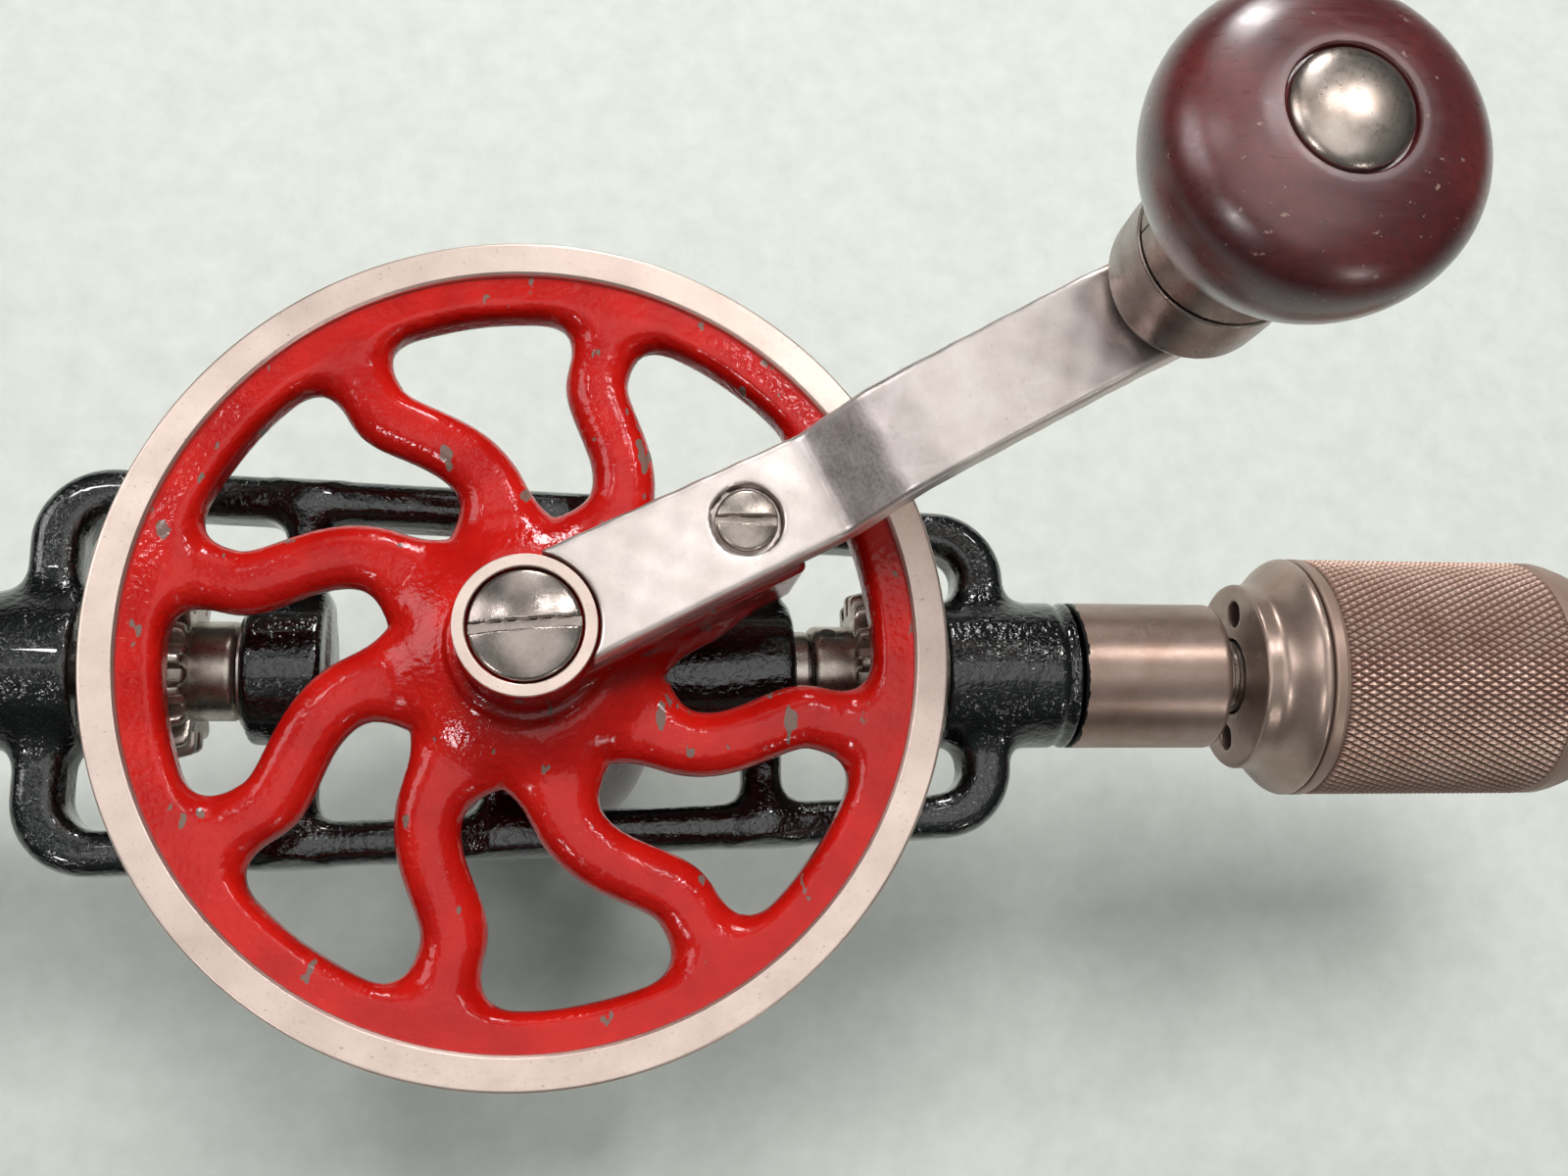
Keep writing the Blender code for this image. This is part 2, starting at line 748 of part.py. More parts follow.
def buildKnobFerrule(material):
    inner = knobFerruleRadius - knobFerruleWall
    top = knobFerruleBottom + knobFerruleHeight
    profile = [
        (knobFerruleBottom, inner),
        (knobFerruleBottom, knobFerruleRadius),
        (top, knobFerruleRadius),
        (top, inner),
    ]
    return finish(turned("knob_ferrule", profile, material, "Z", knobAxis), knobAxis)


# The knob's outline above its ferrule, as shares of its height and of its radius
knobShares = (
    (0, 0.57), (0.06, 0.64), (0.18, 0.78), (0.36, 0.91), (0.54, 0.985), (0.66, 1), (0.78, 0.975),
    (0.88, 0.88), (0.95, 0.72), (1, 0.45),
)


def buildKnob(material):
    bore = rivetRadius + fitGap
    stem = knobFerruleRadius - knobFerruleWall - fitGap
    shoulder = knobFerruleBottom + knobFerruleHeight + fitGap
    height = knobTop - shoulder
    profile = [(knobBottom, bore), (knobBottom, stem), (shoulder, stem)]
    for along, radius in knobShares:
        profile.append((shoulder + height * along, knobRadius * radius))
    seat = knobTop - rivetSeat
    profile.append((knobTop, rivetHeadRadius + fitGap))
    profile.append((seat, rivetHeadRadius + fitGap))
    profile.append((seat, bore))
    return finish(turned("crank_knob", profile, material, "Z", knobAxis), knobAxis)


def buildRivet(material):
    steps = 6
    seat = knobTop - rivetSeat + fitGap
    start = crankLevelFront - crankThickness
    profile = [(start, 0), (start, rivetRadius), (seat, rivetRadius), (seat, rivetHeadRadius)]
    for step in range(steps + 1):
        angle = math.pi / 2 * step / steps
        height = knobTop - fitGap + rivetDome * math.sin(angle)
        profile.append((height, rivetHeadRadius * math.cos(angle)))
    return finish(turned("knob_rivet", profile, material, "Z", knobAxis), gearAxis)


# Pinions


# Outline of a pinion tooth at unit pitch radius: (radius share, half angle as a share of the pitch)
pinionToothShares = ((-0.158, 0.31), (0, 0.225), (0.06, 0.17), (0.103, 0.105))


def pinionSection(x):
    pitchRadius = x * pinionTeeth / gearTeeth
    pitch = 2 * math.pi / pinionTeeth
    points = []
    for tooth in range(pinionTeeth):
        middle = tooth * pitch
        for height, width in pinionToothShares:
            points.append((pitchRadius * (1 + height), middle - width * pitch))
        for height, width in reversed(pinionToothShares):
            points.append((pitchRadius * (1 + height), middle + width * pitch))
    return [(r * math.sin(a), r * math.cos(a)) for r, a in points]


def buildPinion(name, side, bore, material):
    bm = bmesh.new()
    rings = []
    for x in (pinionToothInner, pinionToothOuter):
        rings.append([bm.verts.new((gearX + side * x, y, z)) for y, z in pinionSection(x)])
    for index in range(len(rings[0])):
        bm.faces.new((rings[0][index - 1], rings[0][index], rings[1][index], rings[1][index - 1]))
    bm.faces.new(rings[0])
    bm.faces.new(list(reversed(rings[1])))
    pinion = toObject(name, bm, material)
    edge = pinionPinRadius
    hub = [
        (gearX + side * pinionHubEnd, 0),
        (gearX + side * pinionHubEnd, pinionHubRadius - edge),
        (gearX + side * (pinionHubEnd + edge / 3), pinionHubRadius - edge / 3),
        (gearX + side * (pinionHubEnd + edge), pinionHubRadius),
        (gearX + side * pinionTailEnd, pinionHubRadius),
        (gearX + side * pinionTailEnd, 0),
    ]
    join(pinion, turned("hub", hub))
    ends = sorted((gearX + side * (pinionHubEnd - overrun), gearX + side * (pinionTailEnd + overrun)))
    cut(pinion, rod("bore", ends[0], ends[1], bore + fitGap))
    return pinion


def pinionPin(name, length, radius, material=None):
    pin = rod(name, -length, length, radius, "Z", (gearX + pinionPinAt, 0, 0), smallSides, material)
    turnAbout(pin, "X", -pinionPinTilt, (gearX + pinionPinAt, 0, 0))
    return pin


def buildDrive(steel, dark):
    drive = buildPinion("drive_pinion", 1, spindleRadius, steel)
    cut(drive, pinionPin("hole", pinionHubRadius + overrun, pinionPinRadius + fitGap))
    finish(drive)
    finish(pinionPin("drive_pinion_pin", pinionHubRadius, pinionPinRadius, dark))
    bore = spindleRadius + fitGap
    low = gearX + rightBossOuter + fitGap
    high = gearX + pinionHubEnd - fitGap
    washer = [(low, bore), (low, spindleWasherRadius), (high, spindleWasherRadius), (high, bore)]
    finish(turned("spindle_washer", washer, steel))


def buildIdler(steel, dark):
    finish(buildPinion("idler_pinion", -1, idlerShaftRadius, steel))
    low = gearX - neckInner - idlerShaftSeat
    high = gearX - leftBossOuter + idlerShaftSeat
    finish(rod("idler_shaft", low, high, idlerShaftRadius, material=dark))
    bore = idlerShaftRadius + fitGap
    back = gearX - pinionHubEnd + fitGap
    front = gearX - leftBossOuter - fitGap
    washer = [(back, bore), (back, idlerWasherRadius), (front, idlerWasherRadius), (front, bore)]
    finish(turned("idler_washer", washer, steel))


# Spindle and thrust bearing


cageMiddle = collarStart + spigotLength + fitGap + ballRadius
raceStart = cageMiddle + ballRadius + fitGap
flangeStart = raceStart + raceThickness + fitGap


def buildSpindle(material):
    neck = spindleNeckRadius
    shoulder = pinionTailEnd + fitGap
    flangeEnd = flangeStart + spindleFlangeWidth
    end = chuckBackAt + spindleSeat
    profile = [
        (gearX + spindleEnd, 0),
        (gearX + spindleEnd, spindleRadius),
        (gearX + shoulder, spindleRadius),
        (gearX + shoulder, neck),
        (gearX + flangeStart, neck),
        (gearX + flangeStart, spindleFlangeRadius),
        (gearX + flangeEnd, spindleFlangeRadius),
        (gearX + flangeEnd, neck),
        (gearX + end, neck),
        (gearX + end, 0),
    ]
    spindle = turned("spindle", profile, material)
    cut(spindle, pinionPin("hole", pinionHubRadius + overrun, pinionPinRadius + fitGap))
    return finish(spindle)


def buildCage(material):
    inner = ballCircle - cageHalfWidth
    outer = ballCircle + cageHalfWidth
    low = gearX + cageMiddle - cageThickness / 2
    high = low + cageThickness
    ring = [(low, inner), (low, outer), (high, outer), (high, inner)]
    cage = turned("bearing_balls", ring, material, sides=smallSides)
    for index in range(ballCount):
        angle = 2 * math.pi * index / ballCount
        bm = bmesh.new()
        bmesh.ops.create_uvsphere(bm, u_segments=6, v_segments=4, radius=ballRadius)
        place = (gearX + cageMiddle, ballCircle * math.cos(angle), ballCircle * math.sin(angle))
        bm.transform(Matrix.Translation(place))
        join(cage, toObject("ball", bm))
    return finish(cage)


def buildRace(material):
    bore = spindleNeckRadius + fitGap
    low = gearX + raceStart
    high = low + raceThickness
    profile = [(low, bore), (low, spindleFlangeRadius), (high, spindleFlangeRadius), (high, bore)]
    return finish(turned("thrust_race", profile, material))


def buildCollar(material):
    cavity = collarRadius - collarWall
    wall = gearX + collarEnd - collarEndWall
    bore = spindleNeckRadius + fitGap
    profile = [
        (gearX + collarStart, cavity),
        (gearX + collarStart, collarRadius),
        (gearX + collarEnd - collarEdge, collarRadius),
        (gearX + collarEnd - collarEdge / 3, collarRadius - collarEdge / 3),
        (gearX + collarEnd, collarRadius - collarEdge),
        (gearX + collarEnd, bore),
        (wall, bore),
        (wall, cavity),
    ]
    return finish(turned("thrust_collar", profile, material, sides=fineSides))


# Chuck


jawTilt = math.radians(jawSlope)
sleeveInner = chuckSleeveRadius - sleeveWall
jawCross = jawTipAt + (jawOpening - jawTipShift) / math.tan(jawTilt)


# Distance of a jaw's middle line from the spindle's axis
def jawLine(x):
    return (jawCross - x) * math.tan(jawTilt)


# Radius that the outer side of every jaw just reaches
def jawReach(x):
    return jawLine(x) + jawRadius / math.cos(jawTilt)


# A rod on a jaw's middle line, between two places along the chuck
def jawRod(name, low, high, radius, angle, sides, material=None):
    bm = bmesh.new()
    start = Vector((low, 0, jawLine(low)))
    end = Vector((high, 0, jawLine(high)))
    length = (end - start).length
    bmesh.ops.create_cone(
        bm, cap_ends=True, segments=sides, radius1=radius, radius2=radius, depth=length,
    )
    bm.transform(Matrix.Rotation(math.radians(90) + jawTilt, 4, "Y"))
    bm.transform(Matrix.Translation((start + end) / 2))
    bm.transform(Matrix.Rotation(math.radians(angle), 4, "X"))
    bm.transform(Matrix.Translation(gearAxis))
    return toObject(name, bm, material)


def buildChuckBody(material):
    grooveBack = nutBack - fitGap
    grooveFront = nutFront + fitGap
    flare = []
    flareSteps = 6
    flareStart = chuckBackAt + chuckBackEdge
    flareTop = chuckFlareEnd - chuckFlareLand
    for step in range(flareSteps + 1):
        share = step / flareSteps
        x = flareStart + (flareTop - flareStart) * share
        rise = (chuckSleeveRadius - chuckFlangeRadius) * share * share * (3 - 2 * share)
        flare.append((gearX + x, chuckFlangeRadius + rise))
    profile = [(gearX + chuckBackAt, 0), (gearX + chuckBackAt, chuckFlangeRadius - fitGap)]
    profile += flare
    profile += [
        (gearX + chuckFlareEnd, chuckSleeveRadius),
        (gearX + chuckFlareEnd, chuckShankRadius),
        (gearX + grooveBack, chuckShankRadius),
        (gearX + grooveBack, jawReach(grooveBack)),
        (gearX + grooveFront, jawReach(grooveFront)),
        (gearX + grooveFront, chuckFrontRadius),
        (gearX + chuckNoseAt - chuckNoseBevel, chuckFrontRadius - fitGap),
        (gearX + chuckNoseAt, chuckNoseRadius),
        (gearX + chuckNoseAt, 0),
    ]
    body = turned("chuck_body", profile, material, sides=fineSides)
    boreEnd = gearX + chuckBackAt + spindleSeat + fitGap
    cut(body, rod("bore", gearX + chuckBackAt - overrun, boreEnd, spindleNeckRadius + fitGap))
    socketEnd = gearX + chuckNoseAt - socketDepth
    cut(body, rod("socket", socketEnd, gearX + chuckNoseAt + overrun, socketRadius, sides=socketSides))
    tilt = math.radians(spannerHoleTilt)
    for side in (spannerHoleCircle, -spannerHoleCircle):
        place = (0, side * math.cos(tilt), side * math.sin(tilt))
        low = gearX + chuckBackAt - overrun
        high = gearX + chuckBackAt + spannerHoleDepth
        cut(body, rod("hole", low, high, spannerHoleRadius, "X", place, smallSides))
    back = jawTipAt - jawLength - overrun
    for index in range(jawCount):
        angle = 360 / jawCount * index
        bore = jawRod("bore", back, chuckNoseAt + overrun, jawRadius + fitGap, angle, smallSides)
        cut(body, bore)
    return finish(body)


def buildSleeve(material):
    inner = chuckShankRadius + fitGap
    start = gearX + chuckFlareEnd + fitGap
    steps = 5
    profile = [
        (start, sleeveInner),
        (start, chuckSleeveRadius),
        (gearX + sleeveShoulder, chuckSleeveRadius),
    ]
    for step in range(1, steps + 1):
        share = step / steps
        x = sleeveShoulder + (sleeveFront - sleeveShoulder) * share
        fall = (chuckSleeveRadius - sleeveFrontRadius) * math.sin(share * math.pi / 2) ** 1.1
        profile.append((gearX + x, chuckSleeveRadius - fall))
    profile.append((gearX + sleeveFront, chuckFrontRadius + fitGap))
    seat = nutFront + fitGap
    profile.append((gearX + seat, inner - sleeveWall))
    profile.append((gearX + seat, sleeveInner))
    return finish(turned("chuck_sleeve", profile, material, sides=fineSides))


def buildNut(material):
    outer = sleeveInner - fitGap
    profile = [
        (gearX + nutBack, jawReach(nutBack) + fitGap),
        (gearX + nutBack, outer),
        (gearX + nutFront, outer),
        (gearX + nutFront, jawReach(nutFront) + fitGap),
    ]
    return finish(turned("jaw_nut", profile, material, sides=fineSides))


def buildJaws(material):
    for index in range(jawCount):
        angle = 360 / jawCount * index
        jaw = jawRod(
            "chuck_jaw_%d" % (index + 1), jawTipAt - jawLength, jawTipAt + jawRadius, jawRadius, angle,
            smallSides, material,
        )
        # The gripping face and its two flanks are parallel to the spindle, and the tip is cut square
        turn = Matrix.Rotation(math.radians(angle), 4, "X")
        bm = bmesh.new()
        bm.from_mesh(jaw.data)
        flank = math.pi / jawCount
        apex = (gearX, 0, jawClosing + jawWedgeGap)
        cuts = [
            ((gearX, 0, jawOpening), (0, 0, -1)),
            ((gearX + jawTipAt, 0, 0), (1, 0, 0)),
            (apex, (0, math.cos(flank), -math.sin(flank))),
            (apex, (0, -math.cos(flank), -math.sin(flank))),
        ]
        for place, normal in cuts:
            geometry = list(bm.verts) + list(bm.edges) + list(bm.faces)
            found = bmesh.ops.bisect_plane(
                bm, geom=geometry, dist=mergeDistance, plane_co=turn @ Vector(place),
                plane_no=turn @ Vector(normal), clear_outer=True,
            )
            edges = [item for item in found["geom_cut"] if isinstance(item, bmesh.types.BMEdge)]
            bmesh.ops.edgeloop_fill(bm, edges=edges)
        bmesh.ops.recalc_face_normals(bm, faces=bm.faces)
        bm.to_mesh(jaw.data)
        bm.free()
        slide = turn @ Vector((jawTipAt, 0, jawLine(jawTipAt)))
        finish(jaw, Vector(gearAxis) + slide)


# Handles


# The main handle's outline from butt to ferrule, as shares of its length and of its radius
handleShares = (
    (0.012, 0.75), (0.035, 0.9), (0.075, 0.98), (0.14, 1), (0.25, 0.985), (0.4, 0.93), (0.55, 0.86),
    (0.7, 0.79), (0.82, 0.73), (0.92, 0.68),
)


def buildHandle(wood, steel, dark):
    ferruleStart = gearX - neckEnd - ferruleLength
    front = gearX - neckEnd - fitGap
    tenon = ferruleRadius - ferruleWall - fitGap
    tangBore = tangRadius + fitGap
    tangEnd = gearX - neckEnd - tangLength - fitGap
    profile = [(0, 0), (0, handleButtFlat)]
    for along, radius in handleShares:
        profile.append((ferruleStart * along, handleRadius * radius))
    profile += [
        (ferruleStart - fitGap, handleNeckRadius),
        (ferruleStart - fitGap, tenon),
        (front, tenon),
        (front, tangBore),
        (tangEnd, tangBore),
        (tangEnd, 0),
    ]
    handle = turned("main_handle", profile, wood)
    pinPlace = (gearX - neckEnd - ferruleLength / 2, 0, 0)
    pinReach = ferruleRadius
    cut(handle, rod("hole", -pinReach, pinReach, handlePinRadius + fitGap, "Z", pinPlace, smallSides))
    finish(handle)
    bore = ferruleRadius - ferruleWall
    ring = [(ferruleStart, bore), (ferruleStart, ferruleRadius), (front, ferruleRadius), (front, bore)]
    ferrule = turned("handle_ferrule", ring, steel)
    pinBore = handlePinRadius + fitGap
    far = pinReach + overrun
    cut(ferrule, rod("hole", -far, far, pinBore, "Z", pinPlace, smallSides))
    finish(ferrule)
    finish(rod("handle_pin", -pinReach, pinReach, handlePinRadius, "Z", pinPlace, smallSides, dark))


# The side handle's outline from its ferrule to its end, as shares of its length and radius
sideHandleShares = (
    (0.02, 0.6), (0.1, 0.7), (0.22, 0.85), (0.38, 0.965), (0.52, 1), (0.66, 0.985), (0.8, 0.93),
    (0.92, 0.82), (0.98, 0.73),
)


def buildSideHandle(wood, steel, dark):
    washerTop = -centreBossBack - fitGap
    washerEnd = washerTop - sideWasherThickness
    ferruleTop = washerEnd - fitGap
    ferruleEnd = ferruleTop - sideFerruleLength
    bore = sideStudRadius + fitGap
    washer = [
        (washerEnd, bore),
        (washerEnd, sideWasherRadius),
        (washerTop, sideWasherRadius),
        (washerTop, bore),
    ]
    finish(turned("side_handle_washer", washer, steel, "Z", gearAxis))
    inner = sideFerruleRadius - ferruleWall
    ring = [
        (ferruleEnd, inner),
        (ferruleEnd, sideFerruleRadius),
        (ferruleTop, sideFerruleRadius),
        (ferruleTop, inner),
    ]
    finish(turned("side_handle_ferrule", ring, steel, "Z", gearAxis))
    tenon = inner - fitGap
    start = ferruleEnd - fitGap
    end = start - sideHandleLength
    studEnd = ferruleTop - sideStudDepth
    profile = [(ferruleTop, bore), (ferruleTop, tenon), (start, tenon), (start, sideHandleNeck)]
    for along, radius in sideHandleShares:
        profile.append((start - sideHandleLength * along, sideHandleRadius * radius))
    profile += [(end, sideHandleFlat), (end, 0), (studEnd - fitGap, 0), (studEnd - fitGap, bore)]
    finish(turned("side_handle", profile, wood, "Z", gearAxis))
    studTop = -centreBossBack + sideStudSeat
    finish(rod("side_handle_stud", studEnd, studTop, sideStudRadius, "Z", gearAxis, smallSides, dark))


def main():
    clearScene()
    blackEnamel = makeMaterial("black_enamel", (0.012, 0.012, 0.013), 0.22, 0)
    redPaint = makeMaterial("red_paint", (0.52, 0.018, 0.014), 0.3, 0)
    brightSteel = makeMaterial("bright_steel", (0.6, 0.55, 0.5), 0.32, 1)
    brownSteel = makeMaterial("brown_steel", (0.3, 0.21, 0.18), 0.38, 1)
    darkSteel = makeMaterial("dark_steel", (0.12, 0.1, 0.09), 0.35, 1)
    redWood = makeMaterial("red_wood", (0.1, 0.012, 0.014), 0.3, 0)
    buildFrame(blackEnamel)
    buildGear(redPaint)
    buildAxleScrew(darkSteel)
    buildCrank(brightSteel)
    buildCrankScrew(brightSteel)
    buildKnobWasher(brightSteel)
    buildKnobCollar(brightSteel)
    buildKnobFerrule(brownSteel)
    buildKnob(redWood)
    buildRivet(brightSteel)
    buildDrive(brightSteel, darkSteel)
    buildIdler(brightSteel, darkSteel)
    buildSpindle(brightSteel)
    buildCage(brightSteel)
    buildRace(brightSteel)
    buildCollar(brownSteel)
    buildChuckBody(brownSteel)
    buildSleeve(brownSteel)
    buildNut(darkSteel)
    buildJaws(darkSteel)
    buildHandle(redWood, brightSteel, darkSteel)
    buildSideHandle(redWood, brightSteel, darkSteel)


main()
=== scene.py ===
import json
import math

import bmesh
import bpy
import numpy as np
from mathutils import Matrix, Vector


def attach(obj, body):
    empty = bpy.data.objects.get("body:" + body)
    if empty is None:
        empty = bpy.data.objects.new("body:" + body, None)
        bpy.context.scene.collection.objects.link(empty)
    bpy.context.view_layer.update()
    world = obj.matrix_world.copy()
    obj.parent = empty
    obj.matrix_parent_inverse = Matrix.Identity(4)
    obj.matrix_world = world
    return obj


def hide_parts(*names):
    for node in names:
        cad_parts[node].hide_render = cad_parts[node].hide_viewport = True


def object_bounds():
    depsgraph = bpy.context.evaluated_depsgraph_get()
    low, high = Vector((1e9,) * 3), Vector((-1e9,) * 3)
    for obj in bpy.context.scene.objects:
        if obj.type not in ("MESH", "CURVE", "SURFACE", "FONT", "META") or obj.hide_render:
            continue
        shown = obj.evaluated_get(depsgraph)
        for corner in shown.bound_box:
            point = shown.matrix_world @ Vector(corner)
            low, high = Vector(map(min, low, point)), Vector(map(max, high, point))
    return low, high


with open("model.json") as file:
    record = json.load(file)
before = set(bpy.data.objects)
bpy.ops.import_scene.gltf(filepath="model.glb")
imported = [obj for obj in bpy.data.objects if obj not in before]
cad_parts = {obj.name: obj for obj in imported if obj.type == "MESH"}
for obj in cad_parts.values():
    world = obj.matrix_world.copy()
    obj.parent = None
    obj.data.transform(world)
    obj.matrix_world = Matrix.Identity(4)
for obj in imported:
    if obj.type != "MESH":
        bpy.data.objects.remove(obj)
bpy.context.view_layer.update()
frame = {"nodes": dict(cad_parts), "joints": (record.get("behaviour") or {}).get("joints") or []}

joints = {joint["name"]: joint for joint in frame["joints"]}
mm = 0.001

# Every shape below is worked out in mm, with x from the gear's axis and z from the spindle's
drillOrigin = np.array(joints["gear_spin"]["pos_m"])
knobPlace = (np.array(joints["knob_spin"]["pos_m"]) - drillOrigin) / mm
crankTurn = math.atan2(knobPlace[1], knobPlace[0])


# Mesh helpers


def makePiece(name, points, faces, material, body, nodes, sharpAngle=40):
    mesh = bpy.data.meshes.new(name)
    mesh.vertices.add(len(points))
    mesh.vertices.foreach_set("co", (points * mm + drillOrigin).ravel())
    mesh.loops.add(faces.size)
    mesh.loops.foreach_set("vertex_index", faces.astype(np.int32).ravel())
    mesh.polygons.add(len(faces))
    mesh.polygons.foreach_set("loop_start", np.arange(0, faces.size, faces.shape[1], dtype=np.int32))
    mesh.update(calc_edges=True)
    bm = bmesh.new()
    bm.from_mesh(mesh)
    bmesh.ops.remove_doubles(bm, verts=bm.verts, dist=0.002 * mm)
    bmesh.ops.dissolve_degenerate(bm, edges=bm.edges, dist=0.002 * mm)
    bmesh.ops.recalc_face_normals(bm, faces=bm.faces)
    bm.to_mesh(mesh)
    bm.free()
    mesh.shade_smooth()
    mesh.set_sharp_from_angle(angle=math.radians(sharpAngle))
    mesh.materials.append(material)
    piece = bpy.data.objects.new(name, mesh)
    bpy.context.scene.collection.objects.link(piece)
    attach(piece, body)
    if nodes:
        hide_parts(*nodes)
    return piece


# Indices of a grid's faces, joined round at either side where it wraps
def gridFaces(rows, columns, wrapRows=False, wrapColumns=True):
    row = np.arange(rows if wrapRows else rows - 1)
    column = np.arange(columns if wrapColumns else columns - 1)
    row, column = (index.ravel() for index in np.meshgrid(row, column, indexing="ij"))
    nextRow = (row + 1) % rows
    nextColumn = (column + 1) % columns
    corners = [row * columns + column, row * columns + nextColumn]
    corners += [nextRow * columns + nextColumn, nextRow * columns + column]
    return np.stack(corners, axis=1)


# Profile points are (along, radius, corner); each corner becomes an arc, and long runs get more points
def roundedProfile(corners, arcSteps=5, longest=2.5, closed=False):
    corners = [tuple(corner) + (0,) * (3 - len(corner)) for corner in corners]
    count = len(corners)
    points = []
    for index, (along, radius, bend) in enumerate(corners):
        here = np.array([along, radius])
        if bend == 0 or (not closed and index in (0, count - 1)):
            points.append(here)
            continue
        before = np.array(corners[index - 1][:2]) - here
        after = np.array(corners[(index + 1) % count][:2]) - here
        before = before / np.linalg.norm(before)
        after = after / np.linalg.norm(after)
        half = math.acos(np.clip(before @ after, -1, 1)) / 2
        reach = bend / math.tan(half)
        middle = here + (before + after) / np.linalg.norm(before + after) * bend / math.sin(half)
        start = here + before * reach - middle
        end = here + after * reach - middle
        swing = math.atan2(start[0] * end[1] - start[1] * end[0], start @ end)
        points.append(here + before * reach * 1.3)
        for step in np.linspace(0, 1, arcSteps + 1):
            c, s = math.cos(swing * step), math.sin(swing * step)
            points.append(middle + np.array([c * start[0] - s * start[1], s * start[0] + c * start[1]]))
        points.append(here + after * reach * 1.3)
    if closed:
        points.append(points[0])
    result = [points[0]]
    for point in points[1:]:
        run = np.linalg.norm(point - result[-1])
        pieces = max(1, math.ceil(run / longest))
        start = result[-1]
        result += [start + (point - start) * step / pieces for step in range(1, pieces + 1)]
    return np.array(result[:-1] if closed else result)


# A smooth curve through listed points, each span a cubic whose ends follow its neighbours
def smoothProfile(points, perSpan=6):
    points = np.array(points, float)
    padded = np.vstack([2 * points[0] - points[1], points, 2 * points[-1] - points[-2]])
    t = np.linspace(0, 1, perSpan, endpoint=False)[:, None]
    spans = []
    for a, b, c, d in zip(padded[:-3], padded[1:-2], padded[2:-1], padded[3:]):
        spans.append(0.5 * (2 * b + (c - a) * t + (2 * a - 5 * b + 4 * c - d) * t**2 + (3 * b - a - 3 * c + d) * t**3))
    return np.vstack(spans + [points[-1:]])


# Turned surface: a profile point (along, radius) goes round the axis by every angle
def turnedPoints(profile, axis="X", center=(0, 0), steps=96, angles=None, swell=None):
    if angles is None:
        angles = np.arange(steps) * 2 * math.pi / steps
    along = np.repeat(profile[:, :1], len(angles), axis=1)
    radius = np.repeat(profile[:, 1:2], len(angles), axis=1)
    if swell is not None:
        radius = radius + swell(along, radius, angles[None, :])
    across = radius * np.cos(angles)
    up = radius * np.sin(angles)
    if axis == "X":
        points = np.stack([along, across + center[0], up + center[1]], axis=-1)
    else:
        points = np.stack([across + center[0], up + center[1], along], axis=-1)
    return points.reshape(-1, 3), len(angles)


def makeTurned(name, profile, material, body, nodes, slot, closed=False, sharpAngle=40, **shape):
    points, columns = turnedPoints(profile, **shape)
    faces = gridFaces(len(profile), columns, wrapRows=closed)
    return makePiece(name, points, faces, material, body, nodes, sharpAngle)


# Signed distance helpers: below zero is inside


# Corner between two faces u = 0 and v = 0, rounded by a radius
def roundCorner(u, v, radius):
    a = u + radius
    b = v + radius
    return np.hypot(np.maximum(a, 0), np.maximum(b, 0)) + np.minimum(np.maximum(a, b), 0) - radius


# Union whose meeting line is filleted over a width
def weld(a, b, width):
    share = np.clip(0.5 + 0.5 * (b - a) / width, 0, 1)
    return b + (a - b) * share - width * share * (1 - share)


def carve(a, tool, width):
    return -weld(-a, tool, width)


def between(value, low, high):
    share = np.clip((value - low) / (high - low), 0, 1)
    return share * share * (3 - 2 * share)


# The zero surface of a distance field: one point in each cell that it crosses, at the mean of the
# crossings on the cell's edges, moved onto the surface along the slope, and a face round each crossed edge
def wrapField(field, low, high, step):
    low = np.array(low, float)
    counts = np.ceil((np.array(high) - low) / step).astype(int) + 1
    axes = [low[k] + step * np.arange(counts[k]) for k in range(3)]
    value = field(*np.meshgrid(*axes, indexing="ij", sparse=True)).astype(np.float32)
    inside = value < 0
    cells = counts - 1
    total = np.zeros((3, cells.prod()))
    hits = np.zeros(cells.prod())
    edges = []
    for axis in range(3):
        first = tuple(slice(0, -1) if k == axis else slice(None) for k in range(3))
        second = tuple(slice(1, None) if k == axis else slice(None) for k in range(3))
        crossed = inside[first] != inside[second]
        start = np.argwhere(crossed)
        a = value[first][crossed]
        b = value[second][crossed]
        place = start.astype(float)
        place[:, axis] += a / (a - b)
        u, v = (axis + 1) % 3, (axis + 2) % 3
        ring = []
        for du, dv in ((-1, -1), (0, -1), (0, 0), (-1, 0)):
            cell = start.copy()
            cell[:, u] += du
            cell[:, v] += dv
            flat = np.ravel_multi_index(cell.T, cells)
            hits += np.bincount(flat, minlength=len(hits))
            for k in range(3):
                total[k] += np.bincount(flat, weights=place[:, k], minlength=len(hits))
            ring.append(flat)
        ring = np.stack(ring, axis=1)
        edges.append(np.where((a < 0)[:, None], ring, ring[:, ::-1]))
    used = hits > 0
    number = np.cumsum(used) - 1
    points = (total[:, used] / hits[used]).T * step + low
    probe = step * 0.25
    for turn in range(2):
        x, y, z = points.T
        slope = np.stack(
            [
                field(x + probe, y, z) - field(x - probe, y, z),
                field(x, y + probe, z) - field(x, y - probe, z),
                field(x, y, z + probe) - field(x, y, z - probe),
            ],
            axis=1,
        ) / (2 * probe)
        length = np.maximum((slope**2).sum(axis=1), 0.25)
        move = slope * (field(x, y, z) / length)[:, None]
        points = points - np.clip(move, -step * 0.5, step * 0.5)
    return points, number[np.vstack(edges)]


def makeCast(name, field, low, high, step, material, body, nodes, place=None, sharpAngle=60):
    points, faces = wrapField(field, low, high, step)
    if place is not None:
        points = place(points)
    return makePiece(name, points, faces, material, body, nodes, sharpAngle)


